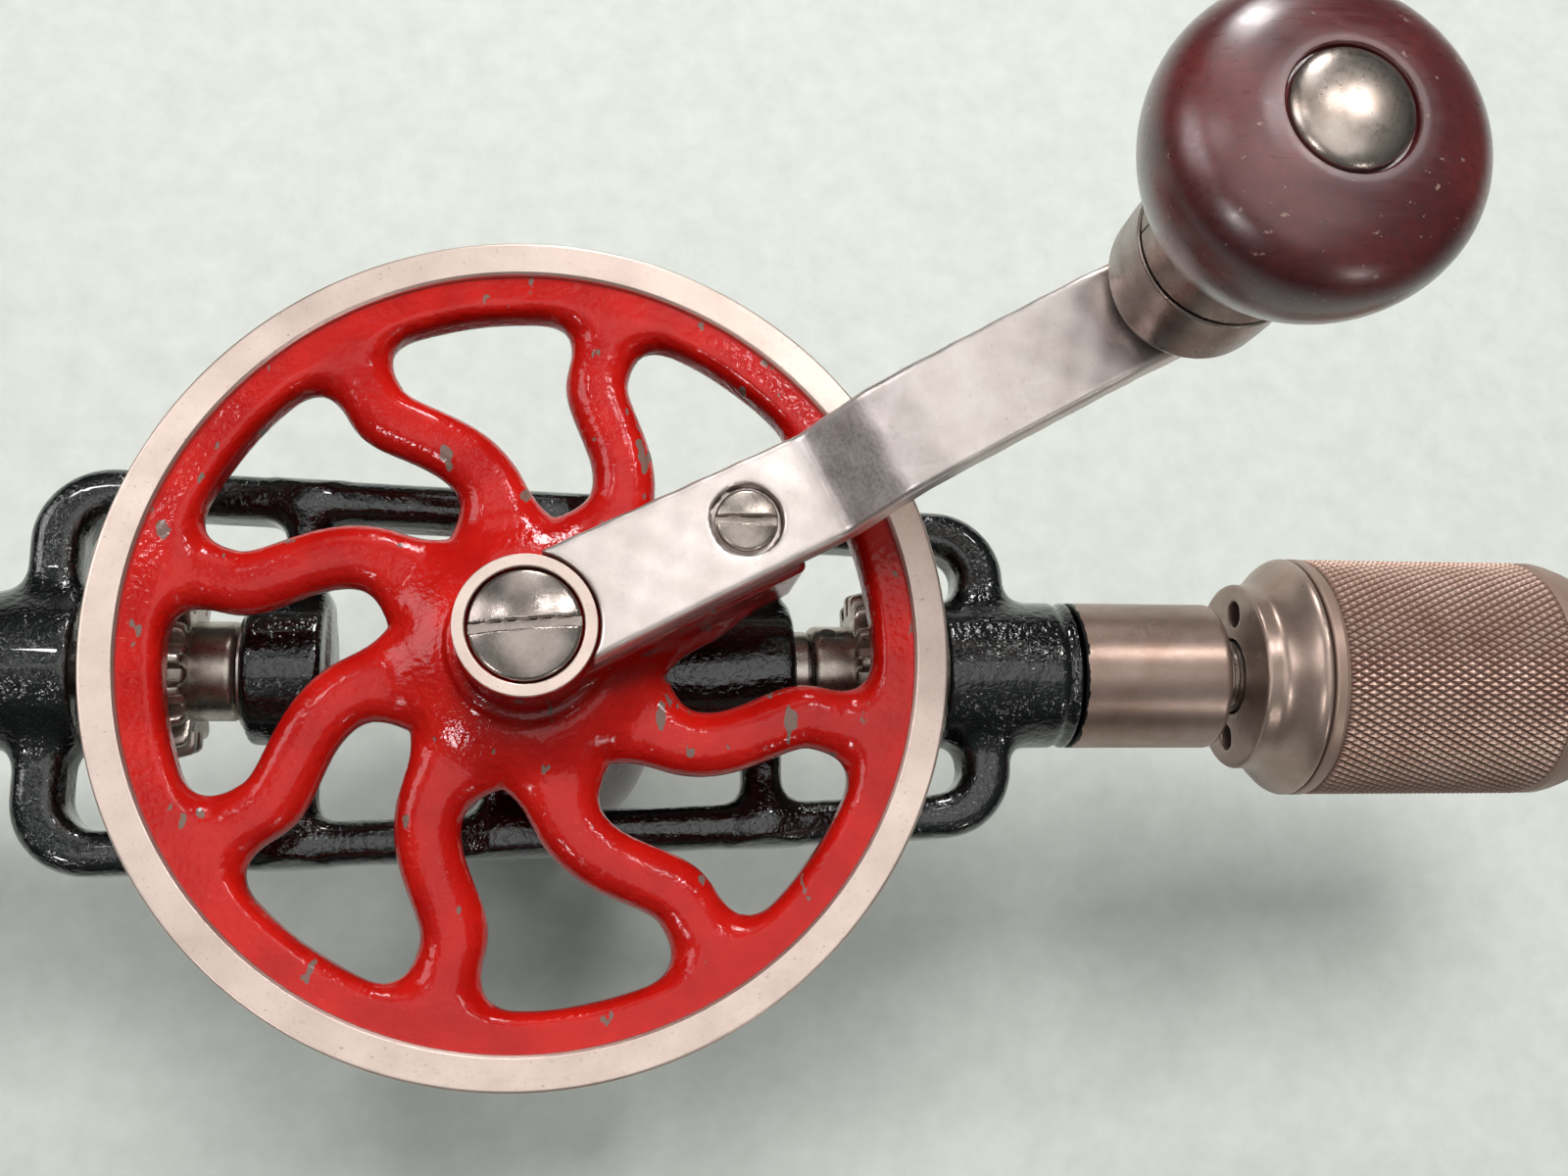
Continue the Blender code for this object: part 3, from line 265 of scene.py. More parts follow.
# Turns points from the crank's own line into place
def alongCrank(points):
    c, s = math.cos(crankTurn), math.sin(crankTurn)
    x, y, z = points.T
    return np.stack([c * x - s * y, s * x + c * y, z], axis=1)


# Materials


def linear(code):
    values = [int(code[i:i + 2], 16) / 255 for i in (1, 3, 5)]
    return tuple(v / 12.92 if v <= 0.04045 else ((v + 0.055) / 1.055) ** 2.4 for v in values) + (1,)


# Adds a node, sets its fields, fills or links its inputs, and gives back one of its outputs
def add(tree, kind, inputs=None, output=0, **settings):
    node = tree.nodes.new("ShaderNode" + kind)
    if kind == "Mix":
        # Every mix in this file is of two colours
        node.data_type, output = "RGBA", 2
    for key, value in settings.items():
        setattr(node, key, value)
    for key, value in (inputs or {}).items():
        if isinstance(value, bpy.types.NodeSocket):
            tree.links.new(value, node.inputs[key])
        else:
            node.inputs[key].default_value = linear(value) if isinstance(value, str) else value
    return node.outputs[output]


def startMaterial(name, **values):
    material = bpy.data.materials.new(name)
    material.use_nodes = True
    tree = material.node_tree
    shader = tree.nodes["Principled BSDF"]
    for key, value in values.items():
        shader.inputs[key.replace("_", " ")].default_value = value
    return material, tree, shader, add(tree, "TexCoord", output="Object")


redPaint = {
    "deep": "#A60D08", "light": "#BE1810", "iron": "#6E6058", "waveMm": 7, "peelMm": 0.9, "peelDepth": 0.3,
    "coatDepth": 0.16, "chipMm": 2.9, "chipDepth": 0.1,
}


# Gloss enamel over a sand casting: orange peel in the coat, and chips down to brown iron
def paintedRedCasting():
    paint = redPaint
    material, tree, shader, place = startMaterial("redEnamel", IOR=1.2, Coat_Weight=0.4, Coat_Roughness=0.03)
    peel = add(tree, "TexNoise", {"Vector": place, "Scale": 1 / (paint["peelMm"] * mm), "Detail": 3.0})
    wave = add(tree, "TexNoise", {"Vector": place, "Scale": 1 / (paint["waveMm"] * mm), "Detail": 2.0})
    stretch = add(tree, "Mapping", {"Vector": place, "Scale": (1.0, 0.55, 0.6)})
    chip = add(tree, "TexNoise", {
        "Vector": stretch, "Scale": 1 / (paint["chipMm"] * mm), "Detail": 2.5, "Roughness": 0.55,
    })
    bare = add(tree, "MapRange", {"Value": chip, "From Min": 0.665, "From Max": 0.674, "To Max": 0.92})
    shade = add(tree, "MapRange", {"Value": wave, "From Min": 0.35, "From Max": 0.7})
    tone = add(tree, "Mix", {0: shade, 6: paint["deep"], 7: paint["light"]})
    base = add(tree, "Mix", {0: bare, 6: tone, 7: paint["iron"]})
    rough = add(tree, "MapRange", {"Value": bare, "To Min": 0.12, "To Max": 0.7})
    peelBump = add(tree, "Bump", {"Height": peel, "Strength": 0.6, "Distance": paint["peelDepth"] * mm})
    softPeel = add(tree, "Bump", {"Height": peel, "Strength": 0.4, "Distance": paint["coatDepth"] * mm})
    chipBump = add(tree, "Bump", {
        "Height": bare, "Strength": 0.6, "Distance": paint["chipDepth"] * mm, "Normal": peelBump,
    }, invert=True)
    tree.links.new(base, shader.inputs["Base Color"])
    tree.links.new(rough, shader.inputs["Roughness"])
    tree.links.new(chipBump, shader.inputs["Normal"])
    tree.links.new(softPeel, shader.inputs["Coat Normal"])
    return material


blackPaint = {
    "black": "#060607", "worn": "#4A423D", "lumpMm": 3.2, "lumpDepth": 0.5, "gritMm": 0.8, "gritDepth": 0.16,
}


# Black gloss enamel over a rough casting: broad lumps, a fine grit and a few worn grey specks
def paintedBlackCasting():
    paint = blackPaint
    material, tree, shader, place = startMaterial("blackEnamel", IOR=1.5, Coat_Weight=0.6, Coat_Roughness=0.04)
    lumps = add(tree, "TexNoise", {
        "Vector": place, "Scale": 1 / (paint["lumpMm"] * mm), "Detail": 4.0, "Roughness": 0.6,
    })
    grit = add(tree, "TexNoise", {"Vector": place, "Scale": 1 / (paint["gritMm"] * mm), "Detail": 3.0})
    worn = add(tree, "MapRange", {"Value": grit, "From Min": 0.73, "From Max": 0.76})
    base = add(tree, "Mix", {0: worn, 6: paint["black"], 7: paint["worn"]})
    rough = add(tree, "MapRange", {
        "Value": lumps, "From Min": 0.3, "From Max": 0.75, "To Min": 0.07, "To Max": 0.2,
    })
    broad = add(tree, "Bump", {"Height": lumps, "Strength": 0.8, "Distance": paint["lumpDepth"] * mm})
    fine = add(tree, "Bump", {
        "Height": grit, "Strength": 0.6, "Distance": paint["gritDepth"] * mm, "Normal": broad,
    })
    tree.links.new(base, shader.inputs["Base Color"])
    tree.links.new(rough, shader.inputs["Roughness"])
    tree.links.new(fine, shader.inputs["Normal"])
    return material


gearCenter = tuple(drillOrigin)
knobCenter = tuple(drillOrigin + knobPlace * mm)
# Middle of the crank's brown stain with painted shade, near the knob
stainAndShadePlace = tuple(drillOrigin + np.array([61.5, 36.0, 44.5]) * mm)
spindleAxis = (1, 0, 0)
crankAxis = (math.cos(crankTurn), math.sin(crankTurn), 0)
steelWear = {
    "driftMm": 9, "grainMm": 0.45, "grainDepth": 0.03, "dirt": "#3A2C26", "enamel": "#0A0909", "enamelEdgeMm": 1.6,
}


# Steel with a worn surface: a mottled tone, fine tool marks across one axis, and pits
# marks says how the cutter left it: rings about an axis, or lines square to it
# film is how much of it lies under dull oxide
def wornSteel(name, bright, dark, roughness, marks="rings", axis=(0, 0, 1), center=gearCenter, markMm=0.35,
              markDepth=0.02, blotchMm=6, pits=0.0, stainAndShade=None, paint=None, film=0.0):
    material, tree, shader, place = startMaterial(name, Metallic=1.0 - film)
    wear = steelWear
    centre = add(tree, "VectorMath", {0: place, 1: center}, operation="SUBTRACT")
    if marks == "rings":
        # Distance from the axis
        cross = add(tree, "VectorMath", {0: centre, 1: axis}, operation="CROSS_PRODUCT")
        lane = add(tree, "VectorMath", {0: cross}, "Value", operation="LENGTH")
    else:
        # Place along the axis, so that lines run square to it
        lane = add(tree, "VectorMath", {0: centre, 1: axis}, "Value", operation="DOT_PRODUCT")
    drift = add(tree, "TexNoise", {"Vector": place, "Scale": 1 / (wear["driftMm"] * mm), "Detail": 2.0})
    wobble = add(tree, "Math", {0: drift, 1: markMm * mm * 1.2, 2: lane}, operation="MULTIPLY_ADD")
    line = add(tree, "CombineXYZ", {"X": wobble})
    strokes = add(tree, "TexNoise", {"Vector": line, "Scale": 1 / (markMm * mm), "Detail": 5.0, "Roughness": 0.7})
    blotch = add(tree, "TexNoise", {"Vector": place, "Scale": 1 / (blotchMm * mm), "Detail": 6.0, "Roughness": 0.62})
    grain = add(tree, "TexNoise", {
        "Vector": place, "Scale": 1 / (wear["grainMm"] * mm), "Detail": 4.0, "Roughness": 0.7,
    })
    tarnish = add(tree, "MapRange", {"Value": blotch, "From Min": 0.34, "From Max": 0.72})
    color = add(tree, "Mix", {0: tarnish, 6: bright, 7: dark})
    if pits:
        pit = add(tree, "MapRange", {"Value": grain, "From Min": 0.62, "From Max": 0.72, "To Max": pits})
        color = add(tree, "Mix", {0: pit, 6: color, 7: wear["dirt"]})
    if stainAndShade:
        # A brown stain with painted shade round one place, broken up by the blotches
        size = stainAndShade["mm"] * mm
        offset = add(tree, "VectorMath", {0: place, 1: stainAndShade["place"]}, operation="SUBTRACT")
        away = add(tree, "VectorMath", {0: offset}, "Value", operation="LENGTH")
        ragged = add(tree, "Math", {0: blotch, 1: -size * 1.6, 2: away}, operation="MULTIPLY_ADD")
        spread = add(tree, "MapRange", {
            "Value": ragged, "From Min": -size * 0.5, "From Max": size * 0.4, "To Min": 0.85, "To Max": 0.0,
        })
        color = add(tree, "Mix", {0: spread, 6: color, 7: stainAndShade["color"]})
    if paint:
        # Black enamel run over from the casting, with a ragged edge across the axis
        ragged = add(tree, "TexNoise", {"Vector": place, "Scale": 1 / (wear["enamelEdgeMm"] * mm), "Detail": 4.0})
        behind = add(tree, "Math", {0: ragged, 1: -paint["ragged"] * mm, 2: lane}, operation="MULTIPLY_ADD")
        covered = add(tree, "MapRange", {
            "Value": behind, "From Min": paint["edge"] * mm, "From Max": (paint["edge"] + 0.06) * mm,
            "To Min": 1.0, "To Max": 0.0,
        })
        color = add(tree, "Mix", {0: covered, 6: color, 7: wear["enamel"]})
    mixed = add(tree, "Math", {0: strokes, 1: 0.5, 2: grain}, operation="MULTIPLY_ADD")
    rough = add(tree, "MapRange", {
        "Value": mixed, "From Min": 0.45, "From Max": 1.1, "To Min": roughness * 0.75, "To Max": roughness * 1.3,
    })
    marksBump = add(tree, "Bump", {"Height": strokes, "Strength": 0.5, "Distance": markDepth * mm})
    grainBump = add(tree, "Bump", {
        "Height": grain, "Strength": 0.3, "Distance": wear["grainDepth"] * mm, "Normal": marksBump,
    })
    tree.links.new(color, shader.inputs["Base Color"])
    tree.links.new(rough, shader.inputs["Roughness"])
    tree.links.new(grainBump, shader.inputs["Normal"])
    return material


lacquer = {
    "dark": "#450A10", "light": "#5F1A1B", "streak": "#2A080A", "nick": "#8F7268", "grainMm": 0.9, "cloudMm": 11,
    "nickMm": 1.3, "nickDepth": 0.08, "scratchMm": 0.5, "scratchDepth": 0.05,
}


# Turned hardwood under wine-red lacquer: fine grain along the piece, scuffs that scatter the light, pale nicks
def lacqueredWood(name, axis):
    material, tree, shader, place = startMaterial(name, IOR=1.5, Coat_Weight=0.9, Coat_Roughness=0.28)
    along = {"X": (0.12, 1.0, 1.0), "Z": (1.0, 1.0, 0.12)}[axis]
    grainPlace = add(tree, "Mapping", {"Vector": place, "Scale": along})
    grain = add(tree, "TexNoise", {
        "Vector": grainPlace, "Scale": 1 / (lacquer["grainMm"] * mm), "Detail": 5.0, "Roughness": 0.6,
    })
    cloud = add(tree, "TexNoise", {"Vector": place, "Scale": 1 / (lacquer["cloudMm"] * mm), "Detail": 3.0})
    shade = add(tree, "MapRange", {"Value": cloud, "From Min": 0.35, "From Max": 0.65})
    tone = add(tree, "Mix", {0: shade, 6: lacquer["dark"], 7: lacquer["light"]})
    streak = add(tree, "MapRange", {"Value": grain, "From Min": 0.4, "From Max": 0.7, "To Max": 0.45})
    tinted = add(tree, "Mix", {0: streak, 6: tone, 7: lacquer["streak"]})
    nick = add(tree, "TexNoise", {
        "Vector": place, "Scale": 1 / (lacquer["nickMm"] * mm), "Detail": 3.0, "Roughness": 0.65,
    })
    nicked = add(tree, "MapRange", {"Value": nick, "From Min": 0.66, "From Max": 0.7, "To Max": 0.75})
    color = add(tree, "Mix", {0: nicked, 6: tinted, 7: lacquer["nick"]})
    slant = add(tree, "Mapping", {"Vector": place, "Rotation": (0.3, 0.5, 0.7), "Scale": (0.1, 1.0, 1.0)})
    scratch = add(tree, "TexNoise", {
        "Vector": slant, "Scale": 1 / (lacquer["scratchMm"] * mm), "Detail": 4.0, "Roughness": 0.7,
    })
    rough = add(tree, "MapRange", {
        "Value": scratch, "From Min": 0.35, "From Max": 0.7, "To Min": 0.26, "To Max": 0.48,
    })
    scuffs = add(tree, "Bump", {"Height": scratch, "Strength": 0.35, "Distance": lacquer["scratchDepth"] * mm})
    dents = add(tree, "Bump", {
        "Height": nicked, "Strength": 0.5, "Distance": lacquer["nickDepth"] * mm, "Normal": scuffs,
    }, invert=True)
    tree.links.new(color, shader.inputs["Base Color"])
    tree.links.new(rough, shader.inputs["Roughness"])
    tree.links.new(dents, shader.inputs["Normal"])
    return material


redMaterial = paintedRedCasting()
blackMaterial = paintedBlackCasting()
# Faced on a lathe, then handled for years: warm silver with rings about the gear's axis
rimSteel = wornSteel("facedSteelRim", "#E0CBC1", "#CBB6AC", 0.4, blotchMm=7, pits=0.5)
# Nickel plate gone satin, with a brown stain and painted shade towards the knob
crankSteel = wornSteel(
    "satinNickelCrank", "#DDD2CE", "#C9BCB7", 0.38, marks="lines", axis=crankAxis, markMm=0.5, markDepth=0.008,
    blotchMm=5, pits=0.25, stainAndShade={"place": stainAndShadePlace, "mm": 3.6, "color": "#85573C"},
)
pinionSteel = wornSteel("cutSteelPinion", "#C9BEB4", "#857A72", 0.3, axis=spindleAxis, markDepth=0.015)
turnedSteel = wornSteel("turnedSteelSpindle", "#C9C0B8", "#968C85", 0.3, axis=spindleAxis)
# Bare steel tarnished to brown, with turning marks square to the spindle
collarSteel = wornSteel(
    "brownedSteelCollar", "#AC958B", "#8F7568", 0.34, marks="lines", axis=spindleAxis, markMm=0.4, markDepth=0.012,
    blotchMm=8, pits=0.2, paint={"edge": 67.2, "ragged": 1.2}, film=0.2,
)
chuckSteel = wornSteel(
    "brownedSteelChuck", "#B49E94", "#9A8377", 0.32, marks="lines", axis=spindleAxis, markMm=0.4, markDepth=0.01,
    blotchMm=7, pits=0.12, film=0.3,
)
screwSteel = wornSteel("oiledSteelScrew", "#A79C96", "#7E726C", 0.24, markMm=0.3, markDepth=0.012, pits=0.1)
smallScrewSteel = wornSteel("brightSteelScrew", "#B9AEA5", "#7F746C", 0.3, markDepth=0.01, pits=0.35)
rivetSteel = wornSteel("polishedSteelRivet", "#C2B8B1", "#9C887C", 0.3, center=knobCenter, markMm=0.5, markDepth=0.006)
knobSteel = wornSteel("tarnishedSteelCollar", "#A3968F", "#6E5C55", 0.3, center=knobCenter, markDepth=0.008, pits=0.15)
innerSteel = wornSteel("darkSteelInside", "#6B625C", "#463E39", 0.38, axis=spindleAxis)
knobWood = lacqueredWood("lacqueredHardwoodKnob", "Z")
handleWood = lacqueredWood("lacqueredHardwoodHandle", "X")
sideWood = lacqueredWood("lacqueredHardwoodSide", "Z")
print("materials made")


# Frame casting


frameCast = {
    "halfMiddle": 22.4, "halfFall": 0.036, "left": -58.8, "right": 59.2, "cornerLeft": 9.5, "cornerRight": 8.5,
    "barHalf": 2.65, "barEndExtra": 0.6, "barEnds": (48, 56), "depthHalf": 4.0, "barRound": 2.3,
    "webs": ((-27.1, 2.3), (0.0, 5.6), (28.1, 2.4)), "fillet": 3.2, "leftBoss": (-33.0, -24.0, 8.8),
    "rightBoss": (0.0, 31.6, 8.4), "centreBoss": (-12.0, 10.0, 11.0), "neck": (-74.0, -51.5, 9.3),
    "nose": (50.4, 67.1, 9.25), "groove": 65.7, "spigot": (70.1, 7.3), "spindleBore": (18.7, 4.4),
    "idlerBore": (-58.3, -26.2, 3.5), "axleBore": (-1.3, 4.3),
}


# A round boss between two places along its axis
def bossShape(radius, along, size, edge):
    low, high, outer = size
    return roundCorner(radius - outer, np.abs(along - (low + high) / 2) - (high - low) / 2, edge)


# The outline is a box with round corners and sloping sides; its bar, the webs and the bosses are welded
def frameField(x, y, z):
    cast = frameCast
    across = np.abs(y)
    edge = cast["halfMiddle"] - cast["halfFall"] * x
    corner = np.where(x < 0, cast["cornerLeft"], cast["cornerRight"])
    middle = (cast["left"] + cast["right"]) / 2
    reach = (cast["right"] - cast["left"]) / 2
    outline = roundCorner(np.abs(x - middle) - reach, across - edge, corner)
    barHalf = cast["barHalf"] + cast["barEndExtra"] * between(np.abs(x), *cast["barEnds"])
    ring = np.abs(outline + barHalf) - barHalf
    depth = np.abs(z) - cast["depthHalf"]
    shape = roundCorner(ring, depth, cast["barRound"])
    for place, half in cast["webs"]:
        web = roundCorner(np.abs(x - place) - half, depth + 0.6, 2.0)
        shape = weld(shape, np.maximum(web, across - edge + 2), cast["fillet"])
    axial = np.hypot(y, z)
    upright = np.hypot(x, y)
    shape = weld(shape, bossShape(axial, x, cast["leftBoss"], 0.8), 2.4)
    shape = weld(shape, bossShape(axial, x, cast["rightBoss"], 0.8), 2.4)
    shape = weld(shape, bossShape(upright, z, cast["centreBoss"], 0.8), 2.4)
    shape = weld(shape, bossShape(axial, x, cast["neck"], 0.6), 3.4)
    groove = 0.5 * np.exp(-((x - cast["groove"]) / 0.5) ** 2)
    shape = weld(shape, bossShape(axial + groove, x, cast["nose"], 0.4), 3.0)
    spigotEnd, spigotRadius = cast["spigot"]
    shape = np.minimum(shape, np.maximum(axial - spigotRadius, np.abs(x - spigotEnd + 3) - 3))
    shape = shape + 0.07 * np.sin(x / 2.3 + 1) * np.sin(y / 2.9) * np.sin(z / 2.5 + 2)
    low, radius = cast["spindleBore"]
    shape = carve(shape, np.maximum(axial - radius, low - x), 0.3)
    low, high, radius = cast["idlerBore"]
    shape = carve(shape, np.maximum(axial - radius, np.maximum(x - high, low - x)), 0.3)
    low, radius = cast["axleBore"]
    return carve(shape, np.maximum(upright - radius, low - z), 0.3)


makeCast(
    "frameCasting", frameField, (-76, -26, -13.5), (71.5, 26, 11.5), 0.5, blackMaterial, "frame_body", ("frame",),
)
print("frame made")


# Main gear


gearCast = {
    "spokes": 8, "halfWidth": 3.6, "swell": (0.5, 15, 24), "spokeEnd": 43, "rimAngle": 32, "sweep": 19,
    "bendStart": 18, "bendEnd": 34, "web": (12.7, 18.5), "hubRadius": 15.0, "ring": (39.4, 46.0), "round": 3.0,
    "ringRound": 1.3, "dish": (8.9, 21.6, 14.5), "hub": (7.5, 31.7, 12), "base": (8.9, 21.6, 10.4), "bore": 4.3,
    "counterbore": (6.15, 28.9), "pad": (30.6, 6.85, 27.1), "padBottom": 14,
}


# Angle of a spoke's middle line at a radius: a smooth step from the hub's angle to the rim's
def spokeMiddle(radius):
    return gearCast["rimAngle"] - gearCast["sweep"] * (1 - between(radius, gearCast["bendStart"], gearCast["bendEnd"]))


# Spokes, hub and rim are welded in the plan, then rounded over at the front and the back
def gearField(x, y, z):
    cast = gearCast
    radius = np.hypot(x, y)
    pitch = 360 / cast["spokes"]
    angle = np.degrees(np.arctan2(y, x)) - spokeMiddle(radius)
    angle = np.abs((angle + pitch / 2) % pitch - pitch / 2)
    slant = np.radians(spokeMiddle(radius + 0.5) - spokeMiddle(radius - 0.5)) * radius
    side = radius * np.radians(angle) / np.sqrt(1 + slant**2)
    swell, near, far = cast["swell"]
    spoke = np.maximum(side - cast["halfWidth"] - swell * between(-radius, -far, -near), radius - cast["spokeEnd"])
    plan = weld(spoke, radius - cast["hubRadius"], 5.5)
    low, high = cast["ring"]
    plan = weld(plan, np.abs(radius - (low + high) / 2) - (high - low) / 2, 5.0)
    bottom, top = cast["web"]
    baseRadius, baseTop, dishRadius = cast["dish"]
    # Height of the front: it falls from the base to the web, and climbs a little again at the rim
    slope = (baseTop - 0.9 - top) * (1 - between(radius, baseRadius, dishRadius + 1.5))
    front = top + slope + 0.25 * between(radius, 37, 41)
    rounding = cast["round"] + (cast["ringRound"] - cast["round"]) * between(radius, 37, 41.5)
    body = roundCorner(plan, np.maximum(z - front, bottom - z), rounding)
    along = crankAxis[0] * x + crankAxis[1] * y
    across = np.abs(crankAxis[0] * y - crankAxis[1] * x)
    padEnd, padHalf, padTop = cast["pad"]
    pad = roundCorner(roundCorner(along - padEnd, across - padHalf, 0.8), z - padTop, 0.5)
    pad = np.maximum(pad, np.maximum(cast["padBottom"] - z, -along))
    body = weld(body, pad, 1.6)
    for name, rounded, width in (("base", 0.5, 0.8), ("hub", 0.2, 0.6)):
        stepRadius, stepTop, stepBottom = cast[name]
        step = np.maximum(roundCorner(radius - stepRadius, z - stepTop, rounded), stepBottom - z)
        body = weld(body, step, width)
    boreRadius, boreBottom = cast["counterbore"]
    body = carve(body, np.maximum(radius - boreRadius, boreBottom - z), 0.2)
    lumps = 0.05 * np.sin(x / 1.9) * np.sin(y / 2.2 + 1) * np.sin(z / 2 + 1)
    return carve(body, radius - cast["bore"], 0.3) + lumps


makeCast(
    "gearCasting", gearField, (-47, -47, 9.6), (47, 47, 32.4), 0.435, redMaterial, "gear_body", ("main_gear",),
)

toothCount = 70
pinionTeeth = 16
toothSlope = pinionTeeth / toothCount
rimShape = {"tip": -0.0235, "foot": 0.0309, "tipShare": 0.141, "rootShare": 0.349, "inner": 42.3, "outer": 47.2}


# Height of the back of the rim over the radius, as a slope: trapezoid waves, one for each tooth
def toothWave(angles):
    share = np.abs((angles / (2 * math.pi) * toothCount) % 1 - 0.5)
    rise = np.clip((share - rimShape["tipShare"]) / (rimShape["rootShare"] - rimShape["tipShare"]), 0, 1)
    return toothSlope + rimShape["tip"] + (rimShape["foot"] - rimShape["tip"]) * rise


# One ring of a section that goes round by every angle: each part is one number, or one for each angle
def ringOf(angles, first, second):
    return np.stack([np.zeros_like(angles) + first, np.zeros_like(angles) + second], axis=1)


# The rim goes round by section: a machined band in front, bevel teeth at the back
def makeRim():
    pitch = 2 * math.pi / toothCount
    shares = np.array([0, 0.09, 0.141, 0.165, 0.245, 0.325, 0.349, 0.43, 0.5])
    shares = np.concatenate([0.5 - shares[:0:-1], 0.5 + shares[:-1]])
    angles = (np.arange(toothCount)[:, None] + shares[None, :]).ravel() * pitch
    wave = toothWave(angles)
    front = roundedProfile([
        (43.6, 16.5), (43.65, 18.6), (43.7, 19.35, 0.15), (44.05, 19.7, 0.2), (47.6, 19.7, 0.35), (47.6, 14.0),
    ], 4, 1.2)
    rings = [ringOf(angles, radius, height) for radius, height in front]
    outer, inner = rimShape["outer"], rimShape["inner"]
    for radius, lift in ((47.55, 0.7), (outer, 0.12), (outer - 0.15, 0), (44.8, 0), (inner + 0.15, 0), (inner, 0.12)):
        rings.append(ringOf(angles, radius, wave * radius + lift))
    rings += [ringOf(angles, 41.85, 12.2), ringOf(angles, 42.4, 14.2)]
    section = np.array(rings)
    points = np.stack(
        [section[..., 0] * np.cos(angles), section[..., 0] * np.sin(angles), section[..., 1]], axis=-1
    ).reshape(-1, 3)
    faces = gridFaces(len(rings), len(angles), wrapRows=True)
    return makePiece("gearRim", points, faces, rimSteel, "gear_body", (), 35)


makeRim()
hubFace = roundedProfile([(31.3, 6.15), (31.3, 7.54), (31.9, 7.54, 0.15), (31.9, 6.2, 0.2)], closed=True)
makeTurned("hubFace", hubFace, rimSteel, "gear_body", (), "bright_steel", closed=True, axis="Z", steps=128)
print("gear made")


# Screws


# A domed head with a straight slot: the slot's place is across, its depth from the crown
def screwField(center, headRadius, low, rim, dome, slotHalf, slotFloor, tilt, shank, shankEnd, wear=0.0):
    c, s = math.cos(math.radians(tilt)), math.sin(math.radians(tilt))

    def field(x, y, z):
        u, v = x - center[0], y - center[1]
        radius = np.hypot(u, v)
        crown = rim + dome * (1 - (radius / headRadius) ** 2)
        head = np.maximum(roundCorner(radius - headRadius, z - crown, 0.35), low - z)
        across = np.abs(c * v - s * u) + wear * np.sin(u * 1.7 + 0.6)
        head = carve(head, np.maximum(across - slotHalf, slotFloor - z), 0.14)
        return np.minimum(head, np.maximum(radius - shank, np.maximum(z - low - 0.2, shankEnd - z)))

    return field


makeCast(
    "axleScrewHead", screwField((0, 0), 5.95, 29.2, 31.75, 1.1, 0.55, 31.4, 5, 4.0, 24, 0.02), (-6.4, -6.4, 23.6),
    (6.4, 6.4, 33.4), 0.16, screwSteel, "frame_body", ("axle_screw",),
)
crankScrewReach = 25.9
screwX, screwY = (crankScrewReach * part for part in crankAxis[:2])
makeCast(
    "crankScrewHead", screwField((screwX, screwY), 3.4, 30.75, 31.95, 0.6, 0.48, 31.3, 0, 2.2, 26, 0.03),
    (screwX - 3.8, screwY - 3.8, 25.6), (screwX + 3.8, screwY + 3.8, 33), 0.13, smallScrewSteel, "gear_body",
    ("crank_screw",),
)
print("screws made")


# Crank arm


crankBar = {
    "line": ((0, 32.2), (34.9, 32.2), (41.3, 38.8), (46, 40.8), (56, 43.4), (65, 45.7), (68, 46.1), (84, 46.2)),
    "thick": 4.8, "halfInner": 6.45, "halfOuter": 5.8, "reach": 75, "endRadius": 6, "round": 0.7,
    "recess": (crankScrewReach, 3.95, 30.5), "screwBore": 2.4, "rivetBore": 3.0, "hubCut": 7.85,
}


# The bar's middle line: its front line, softened at the bends, moved in by half the thickness along the normal
def crankMiddleLine():
    along = np.linspace(-4, 90, 189)
    height = np.interp(along, *zip(*crankBar["line"]))
    soft = np.hanning(9) / np.hanning(9).sum()
    height[4:-4] = np.convolve(height, soft, mode="valid")
    slope = np.gradient(height, along)
    length = np.sqrt(1 + slope**2)
    half = crankBar["thick"] / 2
    return np.stack([along + half * slope / length, height - half / length], axis=1)


crankMiddle = crankMiddleLine()


# A bar round its middle line, as thick all along, with a round end and worn edges
def crankField(x, y, z):
    bar = crankBar
    away = None
    for (startX, startZ), (endX, endZ) in zip(crankMiddle[:-1], crankMiddle[1:]):
        runX, runZ = endX - startX, endZ - startZ
        part = np.clip(((x - startX) * runX + (z - startZ) * runZ) / (runX**2 + runZ**2), 0, 1)
        gap = np.hypot(x - startX - part * runX, z - startZ - part * runZ)
        away = gap if away is None else np.minimum(away, gap)
    share = x / (bar["reach"] + bar["endRadius"])
    half = bar["halfInner"] + (bar["halfOuter"] - bar["halfInner"]) * share
    plan = np.where(x > bar["reach"], np.hypot(x - bar["reach"], y) - half, np.abs(y) - half)
    shape = roundCorner(plan, away - bar["thick"] / 2, bar["round"])
    along, radius, floor = bar["recess"]
    fromScrew = np.hypot(x - along, y)
    shape = carve(shape, np.maximum(fromScrew - radius, floor - z), 0.3)
    shape = carve(shape, fromScrew - bar["screwBore"], 0.1)
    shape = carve(shape, np.hypot(x - bar["reach"], y) - bar["rivetBore"], 0.2)
    dents = 0.03 * np.sin(x * 1.3) * np.sin(y * 1.1 + 1)
    return carve(shape, np.hypot(x, y) - bar["hubCut"], 0.4) + dents


makeCast(
    "crankBar", crankField, (3.8, -7.2, 26.6), (82, 7.2, 47), 0.3, crankSteel, "gear_body", ("crank_arm",),
    place=alongCrank,
)
print("crank made")


# Knob on the crank


